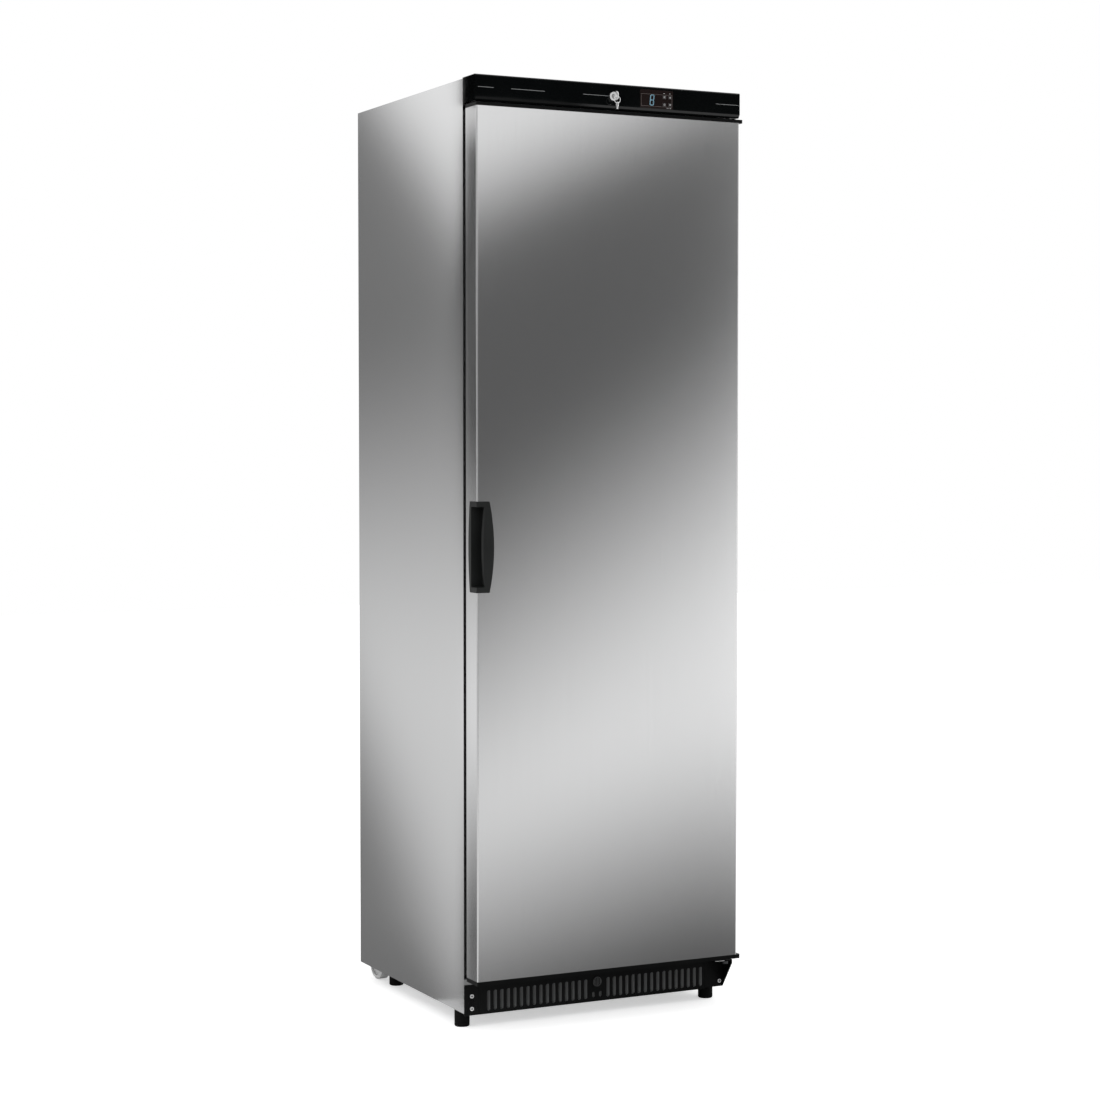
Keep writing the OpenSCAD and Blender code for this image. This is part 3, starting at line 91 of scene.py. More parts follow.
class Shader(Nodes):
    """A material with a Principled shader, whose textures lie in the row's frame."""

    def __init__(self, name, **sockets):
        self.material = bpy.data.materials.new(name)
        self.material.use_nodes = True
        super().__init__(self.material.node_tree)
        self.bsdf = self.tree.nodes["Principled BSDF"]
        self.place = self.add("TexCoord").outputs["Object"]
        for socket, value in sockets.items():
            self.set(socket.replace("_", " "), value)

    def set(self, socket, value):
        self.plug(self.bsdf.inputs[socket], value)

    def scaled(self, cells, seed=0.0):
        """The place with so many texture cells a metre, as one number or as one for each axis."""
        scale = cells if isinstance(cells, tuple) else (cells, cells, cells)
        inputs = {"Vector": self.place, "Scale": scale, "Location": (seed, seed, seed)}
        return self.add("Mapping", inputs).outputs[0]

    def noise(self, cells, detail=3.0, rough=0.5, seed=0.0):
        """Noise from 0 to 1."""
        inputs = {"Vector": self.scaled(cells, seed), "Scale": 1.0, "Detail": detail, "Roughness": rough}
        return self.add("TexNoise", inputs).outputs[0]

    def crystals(self, cells, out="Distance"):
        """Sharp-edged cells, by the distance from their middles or by a colour for each."""
        return self.add("TexVoronoi", {"Vector": self.scaled(cells), "Scale": 1.0}).outputs[out]

    def span(self, value, low=0.0, high=1.0, start=0.3, end=0.7):
        """value from start to end, taken to low and high."""
        inputs = {"Value": value, "From Min": start, "From Max": end, "To Min": low, "To Max": high}
        return self.add("MapRange", inputs).outputs[0]

    def blend(self, factor, first, second):
        """A colour between two colours."""
        inputs = {"Factor": factor, COLOUR_A: (*first, 1.0), COLOUR_B: (*second, 1.0)}
        return self.add("Mix", inputs, data_type="RGBA").outputs[COLOUR_OUT]

    def bump(self, height, depth, before=None):
        inputs = {"Height": height, "Distance": depth}
        if before is not None:
            inputs["Normal"] = before
        normal = self.add("Bump", inputs).outputs[0]
        self.set("Normal", normal)
        return normal


# Node materials

STEEL_TINT = (0.998, 1.0, 1.005)
ZINC_TINT = (0.98, 1.0, 1.03)

# Between these two depths the grille's colour goes over from its front plate to the vanes behind it
GRILLE_PLATE_END = GRILLE_LOW.y + 2.2 * MM
GRILLE_VANE_START = GRILLE_LOW.y + 2.6 * MM


def grey(level, tint=(1.0, 1.0, 1.0)):
    """A grey of some level, or a colour at some share of its brightness."""
    return tuple(level * t for t in tint)


def brushed_steel(name, level, roughness, waves=0.0):
    """Sheet steel with a fine upright grain, and with slight waves of some depth."""
    s = Shader(name, Metallic=1.0, Anisotropic=0.4)
    s.set("Tangent", s.add("Tangent", direction_type="RADIAL", axis="Z").outputs[0])
    grain = s.noise((2400.0, 2400.0, 26.0), rough=0.6)
    broad = s.noise((160.0, 160.0, 2.5), detail=2.0, seed=3.0)
    shares = {0: s.span(grain, 0.0, 0.8), 1: s.span(broad, 0.0, 0.2)}
    shade = s.add("Math", shares, operation="ADD").outputs[0]
    dark, light = grey(level * 0.97, STEEL_TINT), grey(level * 1.03, STEEL_TINT)
    s.set("Base Color", s.blend(shade, dark, light))
    s.set("Roughness", s.span(grain, roughness - 0.015, roughness + 0.025))
    normal = s.bump(grain, 0.0006 * MM)
    if waves:
        s.bump(s.noise((1.3, 1.3, 1.1), detail=0.0, seed=8.0), waves, before=normal)
    return s.material


def zinc_sheet(name, level):
    """Zinc-plated steel with faint crystals."""
    s = Shader(name, Metallic=1.0)
    shade = s.span(s.crystals(110.0, out="Color"), start=0.0, end=1.0)
    s.set("Base Color", s.blend(shade, grey(level * 0.86, ZINC_TINT), grey(level, ZINC_TINT)))
    s.set("Roughness", s.span(shade, 0.3, 0.42, start=0.0, end=1.0))
    s.bump(s.noise(300.0), 0.01 * MM)
    return s.material


def chrome(name, level, roughness, metallic):
    """Bright plating with fine marks of use."""
    s = Shader(name, Metallic=metallic)
    marks = s.noise(900.0, detail=5.0)
    s.set("Base Color", s.blend(s.span(marks), grey(level * 0.93), grey(level)))
    s.set("Roughness", s.span(marks, roughness, roughness + 0.1))
    s.bump(marks, 0.003 * MM)
    return s.material


def plastic(name, colour, roughness, texture=0.02, cells=1500.0, specular=0.5, marks=0.11):
    """Moulded plastic with a fine even texture, its depth in millimetres, and faint marks of use."""
    s = Shader(name, Specular_IOR_Level=specular)
    grain = s.noise(cells, detail=2.0)
    wear = s.noise(14.0, detail=4.0, seed=5.0)
    s.set("Base Color", s.blend(s.span(wear), grey(1.0 - marks, colour), grey(1.0 + marks, colour)))
    s.set("Roughness", s.span(wear, roughness - 0.04, roughness + 0.06))
    s.bump(grain, texture * MM)
    return s.material


def powder_coat(name, colour, roughness=0.42, specular=0.45):
    """Baked paint with a slight orange peel."""
    s = Shader(name, Specular_IOR_Level=specular)
    peel = s.noise(700.0, detail=1.0)
    dust = s.noise(30.0, detail=5.0, seed=2.0)
    s.set("Base Color", s.blend(s.span(dust), grey(0.85, colour), grey(1.15, colour)))
    s.set("Roughness", s.span(peel, roughness - 0.06, roughness + 0.08))
    s.bump(peel, 0.03 * MM)
    return s.material


def grille_plastic(name, front, vanes):
    """Black front plate with grey vanes set behind it, told apart by depth."""
    s = Shader(name, Specular_IOR_Level=0.12)
    grain = s.noise(1500.0, detail=2.0)
    wear = s.noise((40.0, 14.0, 14.0), detail=4.0, seed=5.0)
    depth = s.add("SeparateXYZ", {"Vector": s.place}).outputs[1]
    behind = s.span(depth, start=GRILLE_PLATE_END, end=GRILLE_VANE_START)
    s.set("Base Color", s.blend(behind, front, vanes))
    s.set("Roughness", s.span(wear, 0.4, 0.5))
    s.bump(grain, 0.02 * MM)
    return s.material


def rubber(name, level, specular=0.3):
    """Dull rubber with a pale bloom."""
    s = Shader(name, Specular_IOR_Level=specular)
    grain = s.noise(2200.0, detail=2.0)
    bloom = s.noise(40.0, detail=4.0)
    s.set("Base Color", s.blend(s.span(bloom), grey(level * 0.8), grey(level * 1.25)))
    s.set("Roughness", s.span(bloom, 0.6, 0.75))
    s.bump(grain, 0.03 * MM)
    return s.material


def copper(name):
    """Copper tube, tarnished in places."""
    s = Shader(name, Metallic=1.0)
    tarnish = s.noise(60.0, detail=5.0)
    s.set("Base Color", s.blend(s.span(tarnish), (0.42, 0.2, 0.12), (0.82, 0.46, 0.3)))
    s.set("Roughness", s.span(tarnish, 0.24, 0.45))
    return s.material


def fins(name, level):
    """Thin metal fins, with streaks along them."""
    s = Shader(name, Metallic=1.0)
    streak = s.noise((900.0, 60.0, 60.0))
    s.set("Base Color", s.blend(s.span(streak), grey(level * 0.75), grey(level)))
    s.set("Roughness", s.span(streak, 0.3, 0.5))
    s.bump(streak, 0.02 * MM)
    return s.material


def foam(name):
    """Rigid foam with open pores."""
    s = Shader(name, Specular_IOR_Level=0.2)
    pores = s.crystals(900.0)
    shade = s.span(pores, start=0.0, end=0.6)
    s.set("Base Color", s.blend(shade, (0.62, 0.5, 0.27), (0.78, 0.68, 0.42)))
    s.set("Roughness", s.span(pores, 0.85, 0.95))
    s.bump(pores, 0.2 * MM)
    return s.material


def glow(name, colour, level):
    """A lit mark behind smoked plastic."""
    s = Shader(name, Roughness=0.4, Emission_Strength=level)
    flicker = s.noise(400.0, detail=1.0)
    shade = s.blend(s.span(flicker), grey(0.85, colour), colour)
    s.set("Base Color", shade)
    s.set("Emission Color", shade)
    return s.material


STEEL = brushed_steel("brushed_steel", level=0.62, roughness=0.17, waves=0.5 * MM)
STEEL_DULL = brushed_steel("brushed_steel_dull", level=0.5, roughness=0.3)
ZINC = zinc_sheet("zinc_sheet", level=0.62)
CHROME = chrome("chrome_plate", level=0.92, roughness=0.14, metallic=0.5)
PLUG = chrome("plug_chrome", level=0.42, roughness=0.18, metallic=0.6)
SCREW = chrome("bright_screw", level=0.9, roughness=0.25, metallic=0.6)
DARK_ZINC = zinc_sheet("dark_zinc", level=0.12)
GLOSS_BLACK = plastic("gloss_black", (0.0022, 0.0026, 0.0027), roughness=0.06, texture=0.0006,
                      cells=260.0, specular=0.35)
SATIN_BLACK = plastic("satin_black", (0.008, 0.008, 0.0085), roughness=0.4, specular=0.4)
GRILLE = grille_plastic("grille_plastic", front=(0.0018, 0.002, 0.002), vanes=(0.115, 0.117, 0.117))
VANE_GREY = plastic("vane_grey", (0.06, 0.061, 0.061), roughness=0.45, specular=0.3)
CAP_BLACK = plastic("cap_black", (0.0018, 0.002, 0.002), roughness=0.34, texture=0.01, specular=0.12)
GRIP_BLACK = plastic("grip_black", (0.0075, 0.0083, 0.008), roughness=0.42, texture=0.03,
                     cells=900.0, specular=0.22)
SMOKED = plastic("smoked_window", (0.012, 0.008, 0.0075), roughness=0.1, texture=0.001, cells=300.0)
KEY_GREY = plastic("key_grey", (0.03, 0.026, 0.026), roughness=0.38, texture=0.01)
WHITE = plastic("white_liner", (0.76, 0.76, 0.745), roughness=0.32, texture=0.01,
                cells=400.0, marks=0.012)
LAMP_WHITE = glow("lamp_diffuser", (0.9, 0.9, 0.86), level=0.25)
GASKET = rubber("gasket_rubber", level=0.03)
FOOT = rubber("foot_rubber", level=0.0025, specular=0.1)
WHEEL = plastic("wheel_grey", (0.6, 0.6, 0.6), roughness=0.5, texture=0.03, cells=700.0)
BLACK_STEEL = powder_coat("black_coat", (0.0018, 0.002, 0.002), specular=0.12)
MOTOR = powder_coat("motor_coat", (0.03, 0.032, 0.036))
WIRE = powder_coat("coated_wire", (0.6, 0.61, 0.62), roughness=0.32)
COPPER = copper("copper_tube")
FINS = fins("aluminium_fins", level=0.75)
DARK_FINS = fins("dark_fins", level=0.16)
FOAM = foam("rigid_foam")
STRIPE = plastic("pale_stripe", (0.2, 0.205, 0.205), roughness=0.35, texture=0.002)
OUTLINE = plastic("window_outline", (0.085, 0.07, 0.066), roughness=0.4, texture=0.002)
MARK = plastic("printed_mark", (0.42, 0.42, 0.42), roughness=0.5, texture=0.002)
DIGIT = glow("lit_digit", (0.27, 0.52, 0.66), level=0.34)

FINISH = {
    STEEL: ["side_panel_left", "side_panel_right", "top_panel", "door_skin"],
    STEEL_DULL: ["front_sill"],
    ZINC: ["back_panel", "underside_panel", "header_chassis", "upper_hinge_bracket",
           "base_frame", "rear_cover", "shelf_supports", "lock_cam"],
    CHROME: ["lock_housing", "lock_key", "key_ring"],
    PLUG: ["lock_plug"],
    SCREW: ["base_screws"],
    DARK_ZINC: ["hinge_pins"],
    GLOSS_BLACK: ["header_fascia"],
    CAP_BLACK: ["door_top_cap", "door_bottom_cap"],
    GRIP_BLACK: ["door_handle"],
    SATIN_BLACK: ["controller_module", "power_inlet", "evaporator_fan", "condenser_fan"],
    GRILLE: ["kick_grille"],
    SMOKED: ["display_window"],
    KEY_GREY: ["control_key_1", "control_key_2", "control_key_3", "control_key_4"],
    WHITE: ["inner_liner", "door_inner_panel", "drain_parts", "hinge_bushes", "evaporator_cover"],
    LAMP_WHITE: ["interior_lamp"],
    GASKET: ["door_gasket", "compressor_mounts"],
    FOOT: ["foot_front_left", "foot_front_right", "foot_rear_left", "foot_rear_right"],
    WHEEL: ["wheel_left", "wheel_right"],
    BLACK_STEEL: ["lower_hinge_bracket", "corner_plate", "compressor", "condenser_shroud"],
    MOTOR: ["fan_motors"],
    WIRE: ["shelf_1", "shelf_2", "shelf_3"],
    COPPER: ["refrigerant_pipes"],
    FINS: ["evaporator_coil"],
    DARK_FINS: ["condenser_coil"],
    FOAM: ["insulation_foam", "door_foam"],
}

# Radius of the rounding along each node's edges, in millimetres
ROUNDING = {
    "header_fascia": 0.7, "door_top_cap": 0.8, "door_bottom_cap": 0.8, "door_handle": 1.2,
    "kick_grille": 0.35, "corner_plate": 0.6, "lower_hinge_bracket": 0.6, "display_window": 0.15,
    "control_key_1": 0.3, "control_key_2": 0.3, "control_key_3": 0.3, "control_key_4": 0.3,
    "lock_housing": 0.5, "lock_plug": 0.3, "lock_key": 0.3, "lock_cam": 0.4,
    "foot_front_left": 1.0, "foot_front_right": 1.0, "foot_rear_left": 1.0, "foot_rear_right": 1.0,
    "door_gasket": 1.0, "evaporator_cover": 0.4, "interior_lamp": 1.5, "power_inlet": 0.5,
    "upper_hinge_bracket": 0.5, "compressor": 1.0, "drain_parts": 0.5, "controller_module": 0.6,
}
ROUNDING_STEPS = 2
SHARP_ANGLE = math.radians(32)
WELD_REACH = 0.002 * MM


def dress_nodes():
    """Gives each node its material and rounds its edges."""
    for material, names in FINISH.items():
        for name in names:
            data = NODES[name].data
            data.materials.clear()
            data.materials.append(material)
    for name, radius in ROUNDING.items():
        round_edges(NODES[name], radius * MM)


def round_edges(piece, radius):
    """Rounds the sharp edges of a piece with modifiers, so that its mesh stays as it is."""
    weld = piece.modifiers.new("weld", "WELD")
    weld.merge_threshold = WELD_REACH
    bevel = piece.modifiers.new("edges", "BEVEL")
    bevel.width = radius
    bevel.segments = ROUNDING_STEPS
    bevel.limit_method = "ANGLE"
    bevel.angle_limit = SHARP_ANGLE
    bevel.use_clamp_overlap = True
    normals = piece.modifiers.new("normals", "WEIGHTED_NORMAL")
    normals.keep_sharp = False


# Meshes

def new_piece(name, mesh, material, body):
    """A piece of the scene's own, made from a mesh, that rides on a body."""
    bmesh.ops.recalc_face_normals(mesh, faces=mesh.faces[:])
    data = bpy.data.meshes.new(name)
    mesh.to_mesh(data)
    mesh.free()
    data.materials.append(material)
    piece = bpy.data.objects.new(name, data)
    bpy.context.scene.collection.objects.link(piece)
    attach(piece, body)


def add_plate(mesh, outline, y_back, y_front):
    """A plate in the (x, z) plane with an outline, from y_back to y_front."""
    front = [mesh.verts.new((x, y_front, z)) for x, z in outline]
    back = [mesh.verts.new((x, y_back, z)) for x, z in outline]
    mesh.faces.new(front)
    mesh.faces.new(list(reversed(back)))
    n = len(outline)
    for i in range(n):
        j = (i + 1) % n
        mesh.faces.new((front[i], back[i], back[j], front[j]))


def add_frame(mesh, outer, inner, y_back, y_front):
    """A closed band between two outlines with as many points, from y_back to y_front."""
    rings = [[mesh.verts.new((x, y, z)) for x, z in line]
             for line, y in ((outer, y_front), (inner, y_front), (inner, y_back), (outer, y_back))]
    n = len(outer)
    for i in range(n):
        j = (i + 1) % n
        for a, b in zip(rings, rings[1:] + rings[:1]):
            mesh.faces.new((a[i], a[j], b[j], b[i]))


def box_outline(x0, x1, z0, z1, corner, bends=4):
    """A rectangle in (x, z) with round corners."""
    points = []
    for cx, cz, start in ((x1 - corner, z0 + corner, -90), (x1 - corner, z1 - corner, 0),
                          (x0 + corner, z1 - corner, 90), (x0 + corner, z0 + corner, 180)):
        for k in range(bends + 1):
            a = math.radians(start + 90 * k / bends)
            points.append((cx + corner * math.cos(a), cz + corner * math.sin(a)))
    return points


def circle(cx, cz, radius, count):
    """The points of a circle in (x, z)."""
    turns = [2 * math.pi * k / count for k in range(count)]
    return [(cx + radius * math.cos(a), cz + radius * math.sin(a)) for a in turns]


# Header marks

MARK_PROUD = 0.12 * MM
MARK_SUNK = 0.3 * MM

# Share of a mark's half height that rounds its ends. A little less than 1 keeps its corners apart.
ROUND_END = 0.98

# The pinstripe: its height, half its thickness, and its runs in x. The cabinet's middle is at x = 0.
STRIPE_Z = HEADER_HIGH.z - 0.025
STRIPE_HALF = 0.42 * MM
STRIPE_RUNS = ((HEADER_LOW.x + 0.005, -0.261), (-0.223, -0.149), (-0.064, LOCK_LOW.x - 0.001),
               (0.243, HEADER_HIGH.x - 0.003))


def pinstripe():
    """The thin line along the header, in four runs, one of which ends at the lock."""
    mesh = bmesh.new()
    for x0, x1 in STRIPE_RUNS:
        outline = box_outline(x0, x1, STRIPE_Z - STRIPE_HALF, STRIPE_Z + STRIPE_HALF,
                              STRIPE_HALF * ROUND_END, bends=3)
        add_plate(mesh, outline, FRONT_Y + MARK_SUNK, FRONT_Y - MARK_PROUD)
    new_piece("header_pinstripe", mesh, STRIPE, "cabinet")


# The display's outline: its edges inside the window, its corners and its line
OUTLINE_X0, OUTLINE_X1 = WINDOW_LOW.x + 0.002, WINDOW_HIGH.x - 0.002
OUTLINE_Z0, OUTLINE_Z1 = WINDOW_LOW.z + 0.0045, WINDOW_HIGH.z - 0.0085
OUTLINE_CORNER = 0.8 * MM
OUTLINE_INNER_CORNER = 0.4 * MM
OUTLINE_LINE = 0.7 * MM

# The display's digit: its left edge, foot, width and height, its bars, and x over z of its lean
DIGIT_X = WINDOW_LOW.x + 0.0217
DIGIT_Z = WINDOW_LOW.z + 0.0065
DIGIT_WIDTH = 0.0092
DIGIT_HEIGHT = 0.0215
DIGIT_BAR = 1.5 * MM
DIGIT_LINE = 0.34 * MM
DIGIT_GAP = 0.25 * MM
DIGIT_LEAN = 0.09

# How far a pointed bar's inner tip stands inside its outer tip, in line widths
TIP_INSET = 1.4

# Two dashes over the outline and three dots under it
DASHES_X = (WINDOW_LOW.x + 0.0554, WINDOW_LOW.x + 0.0684)
DASH_HALF = 1.6 * MM
DASH_Z0, DASH_Z1 = OUTLINE_Z1 + 2.2 * MM, OUTLINE_Z1 + 3.0 * MM
DASH_CORNER = 0.3 * MM
DOTS_X = (WINDOW_LOW.x + 0.0624, WINDOW_LOW.x + 0.0664, WINDOW_LOW.x + 0.0704)
DOT_RADIUS = 0.75 * MM
DOT_Z = OUTLINE_Z0 - 2.6 * MM


def display_marks():
    """The outline, the lit digit, the dashes and the dots of the display."""
    y0, y1 = FRONT_Y + MARK_SUNK, FRONT_Y - MARK_PROUD
    outer = box_outline(OUTLINE_X0, OUTLINE_X1, OUTLINE_Z0, OUTLINE_Z1, OUTLINE_CORNER)
    inner = box_outline(OUTLINE_X0 + OUTLINE_LINE, OUTLINE_X1 - OUTLINE_LINE, OUTLINE_Z0 + OUTLINE_LINE,
                        OUTLINE_Z1 - OUTLINE_LINE, OUTLINE_INNER_CORNER)
    mesh = bmesh.new()
    add_frame(mesh, outer, inner, y0, y1)
    new_piece("display_outline", mesh, OUTLINE, "cabinet")
    mesh = bmesh.new()
    seven_segment(mesh, DIGIT_X, DIGIT_Z, DIGIT_WIDTH, DIGIT_HEIGHT, y0, y1)
    new_piece("display_digit", mesh, DIGIT, "cabinet")
    mesh = bmesh.new()
    for x in DASHES_X:
        add_plate(mesh, box_outline(x - DASH_HALF, x + DASH_HALF, DASH_Z0, DASH_Z1, DASH_CORNER), y0, y1)
    for x in DOTS_X:
        outline = box_outline(x - DOT_RADIUS, x + DOT_RADIUS, DOT_Z, DOT_Z + 2 * DOT_RADIUS,
                              DOT_RADIUS * ROUND_END)
        add_plate(mesh, outline, y0, y1)
    new_piece("display_dots", mesh, MARK, "cabinet")


def seven_segment(mesh, x, z, width, height, y0, y1):
    """The digit 8 as seven hollow bars, leaning to the right."""
    half = DIGIT_BAR / 2
    rows = (z + half, z + height / 2, z + height - half)
    for row in rows:
        hollow_bar(mesh, (x + half + DIGIT_GAP, row), (x + width - half - DIGIT_GAP, row), y0, y1)
    for column in (x + half, x + width - half):
        for low, high in ((rows[0], rows[1]), (rows[1], rows[2])):
            hollow_bar(mesh, (column, low + DIGIT_GAP), (column, high - DIGIT_GAP), y0, y1)
    for vertex in mesh.verts:
        vertex.co.x += (vertex.co.z - z) * DIGIT_LEAN


def hollow_bar(mesh, start, end, y0, y1):
    """The outline of a digit's bar, with pointed ends, between two points in (x, z)."""
    a, b = Vector(start), Vector(end)
    along = (b - a).normalized()
    across = Vector((-along.y, along.x))

    def outline(h, tip):
        return [tuple(p) for p in (
            a + along * tip, a + along * (tip + h) - across * h, b - along * (tip + h) - across * h,
            b - along * tip, b - along * (tip + h) + across * h, a + along * (tip + h) + across * h)]

    outer = outline(DIGIT_BAR / 2, 0.0)
    inner = outline(DIGIT_BAR / 2 - DIGIT_LINE, DIGIT_LINE * TIP_INSET)
    add_frame(mesh, outer, inner, y0, y1)


# Marks on the control keys, their shares as parts of the radius
KEY_MARK_RADIUS = 1.9 * MM
KEY_RING_POINTS = 20
KEY_RING_HOLE = 0.68
KEY_ARROW_TIP = 0.9
KEY_ARROW_FOOT = 0.7
KEY_BAR_PITCH = 1.3 * MM
KEY_BAR_HALF = 0.35 * MM
KEY_BAR_CORNER = 0.2 * MM


def key_marks():
    """A plain mark on each control key: a ring, an arrow down, three bars and an arrow up."""
    r = KEY_MARK_RADIUS
    for i in range(4):
        low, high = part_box(f"control_key_{i + 1}")
        cx, cz = (low.x + high.x) / 2, (low.z + high.z) / 2
        y0, y1 = low.y + MARK_SUNK, low.y - MARK_PROUD
        mesh = bmesh.new()
        if i == 0:
            ring = circle(cx, cz, r, KEY_RING_POINTS)
            hole = circle(cx, cz, r * KEY_RING_HOLE, KEY_RING_POINTS)
            add_frame(mesh, ring, hole, y0, y1)
        elif i == 1:
            foot, tip = cz + r * KEY_ARROW_FOOT, cz - r * KEY_ARROW_TIP
            add_plate(mesh, [(cx - r, foot), (cx, tip), (cx + r, foot)], y0, y1)
        elif i == 2:
            for k in (-1, 0, 1):
                bar_z = cz + k * KEY_BAR_PITCH
                add_plate(mesh, box_outline(cx - r, cx + r, bar_z - KEY_BAR_HALF, bar_z + KEY_BAR_HALF,
                                            KEY_BAR_CORNER), y0, y1)
        else:
            foot, tip = cz - r * KEY_ARROW_FOOT, cz + r * KEY_ARROW_TIP
            add_plate(mesh, [(cx - r, foot), (cx + r, foot), (cx, tip)], y0, y1)
        new_piece(f"key_mark_{i + 1}", mesh, MARK, f"control_key_{i + 1}")


# Base

# The round boss of the kick grille, its rim and its ribs
BOSS_Z = GRILLE_LOW.z + 0.0409
BOSS_RADIUS = 0.0098
BOSS_POINTS = 36
BOSS_SUNK = 0.0002
BOSS_PROUD = 0.0007
RIM_WIDTH = 0.0013
RIB_PITCH = 0.0034
RIB_HALF = 0.0007
RIB_CORNER = 0.0005
RIB_REACH = BOSS_RADIUS - 0.002


def grille_boss():
    """Rim and five upright ribs on the round boss of the kick grille."""
    y0, y1 = GRILLE_LOW.y + BOSS_SUNK, GRILLE_LOW.y - BOSS_PROUD
    mesh = bmesh.new()
    outer = circle(0.0, BOSS_Z, BOSS_RADIUS, BOSS_POINTS)
    inner = circle(0.0, BOSS_Z, BOSS_RADIUS - RIM_WIDTH, BOSS_POINTS)
    add_frame(mesh, outer, inner, y0, y1)
    for k in range(-2, 3):
        x = k * RIB_PITCH
        half = math.sqrt(RIB_REACH ** 2 - x ** 2)
        outline = box_outline(x - RIB_HALF, x + RIB_HALF, BOSS_Z - half, BOSS_Z + half, RIB_CORNER)
        add_plate(mesh, outline, y0, y1)
    new_piece("grille_boss_ribs", mesh, VANE_GREY, "cabinet")


def grille_slot_shade():
    """A dark grey plate of painted shade behind the two small slots under the boss, where the space behind
    them lies in shade.
    """
    z = GRILLE_LOW.z + 14.4 * MM
    y_front = GRILLE_LOW.y + 3.45 * MM
    half_width, half_height, corner, thickness = 13 * MM, 7 * MM, 1 * MM, 0.6 * MM
    outline = box_outline(-half_width, half_width, z - half_height, z + half_height, corner)
    mesh = bmesh.new()
    # The plate is painted shade: it keeps the slots dark where the space behind them lies in shade.
    add_plate(mesh, outline, y_front + thickness, y_front)
    new_piece("grille_slot_shade", mesh, VANE_GREY, "cabinet")


# Heads of the base screws, the left ones a step further back, and black crosses of painted shade in them,
# where their cross recesses lie in shade
HEAD_RADIUS = 4 * MM
HEAD_STEP = 0.5 * MM
CROSS_ARM = 2.7 * MM
CROSS_HALF = 0.8 * MM
CROSS_GAP = 0.04 * MM
CROSS_CORNER = 0.1 * MM
CROSS_SUNK = 0.6 * MM
CROSS_PROUD = 0.05 * MM


def screw_cross_shade():
    """Black crosses of painted shade in the heads of the three base screws, standing for the shade in their
    cross recesses.
    """
    low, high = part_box("base_screws")
    left_x, right_x = low.x + HEAD_RADIUS, high.x - HEAD_RADIUS
    lower_z, upper_z = low.z + HEAD_RADIUS, high.z - HEAD_RADIUS
    left_y, right_y = low.y + HEAD_STEP, low.y
    mesh = bmesh.new()
    for x, z, face_y in ((left_x, lower_z, left_y), (left_x, upper_z, left_y), (right_x, lower_z, right_y)):
        bars = ((x - CROSS_ARM, x + CROSS_ARM, z - CROSS_HALF, z + CROSS_HALF),
                (x - CROSS_HALF, x + CROSS_HALF, z - CROSS_ARM, z - CROSS_HALF - CROSS_GAP),
                (x - CROSS_HALF, x + CROSS_HALF, z + CROSS_HALF + CROSS_GAP, z + CROSS_ARM))
        for bar in bars:
            outline = box_outline(*bar, CROSS_CORNER, bends=1)
            # Each bar is a black plate of painted shade over a screw's cross recess.
            add_plate(mesh, outline, face_y + CROSS_SUNK, face_y - CROSS_PROUD)
    new_piece("screw_cross_shade", mesh, SATIN_BLACK, "cabinet")


def bracket_edge_highlight():
    """A strip of bright screw metal along the front edge of the hinge bracket's shelf, under the door: a
    painted highlight on the black bracket.
    """
    x0, x1 = BRACKET_LOW.x + 3 * MM, BRACKET_LOW.x + 25 * MM
    z1 = BRACKET_HIGH.z - 0.5 * MM
    z0 = z1 - 1.1 * MM
    corner, sunk, proud = 0.4 * MM, 0.3 * MM, 0.1 * MM
    mesh = bmesh.new()
    # The bright strip is a painted highlight, the glint along the black edge.
    add_plate(mesh, box_outline(x0, x1, z0, z1, corner), BRACKET_LOW.y + sunk, BRACKET_LOW.y - proud)
    new_piece("bracket_edge_highlight", mesh, SCREW, "cabinet")


# Stage, lights and camera

LIGHT_COLOUR = (1.0, 1.0, 1.0, 1.0)

# Bands of light in the world, as (start, end, low, high) over the upward part of the direction
HORIZON_BAND = (0.02, -0.12, 0.3, 1.0)
UPPER_BAND = (0.07, 0.2, 0.0, 0.75)
PLAIN_LEVEL = 0.8

FLOOR_HALF = 12.0
FLOOR_COLOUR = (0.86, 0.86, 0.86, 1.0)
FLOOR_LIFT = 0.5

# Where the floor is deep under the cabinet, as fades (start, end) from each of its four sides
UNDER_LEFT, UNDER_RIGHT = (-0.24, -0.17), (0.28, 0.21)
UNDER_FRONT, UNDER_BACK = (-0.12, -0.04), (0.3, 0.23)


def camera_direction():
    return Vector((math.sin(CAMERA_YAW) * math.cos(CAMERA_PITCH),
                   math.cos(CAMERA_YAW) * math.cos(CAMERA_PITCH),
                   -math.sin(CAMERA_PITCH)))


def make_camera():
    data = bpy.data.cameras.new("camera")
    data.sensor_width = CAMERA_SENSOR
    data.lens = CAMERA_LENS
    data.clip_end = CAMERA_REACH
    camera = bpy.data.objects.new("camera", data)
    camera.location = CAMERA_AT
    camera.rotation_euler = camera_direction().to_track_quat("-Z", "Y").to_euler()
    bpy.context.scene.collection.objects.link(camera)
    bpy.context.scene.camera = camera


class Glow(Nodes):
    """A node tree for what gives light: the world, the floor and the reflector cards."""

    def __init__(self, tree):
        super().__init__(tree)
        tree.nodes.clear()

    def math(self, operation, *values):
        return self.add("Math", dict(enumerate(values)), operation=operation).outputs[0]

    def fade(self, value, start, end, low=0.0, high=1.0):
        """A smooth step of value from start to end."""
        inputs = {"Value": value, "From Min": start, "From Max": end, "To Min": low, "To Max": high}
        return self.add("MapRange", inputs, interpolation_type="SMOOTHSTEP").outputs[0]

    def choose(self, test, otherwise, chosen):
        """One plain value where test is 0 and another where it is 1."""
        inputs = {"Factor": test, VALUE_A: otherwise, VALUE_B: chosen}
        return self.add("Mix", inputs, data_type="FLOAT").outputs[0]


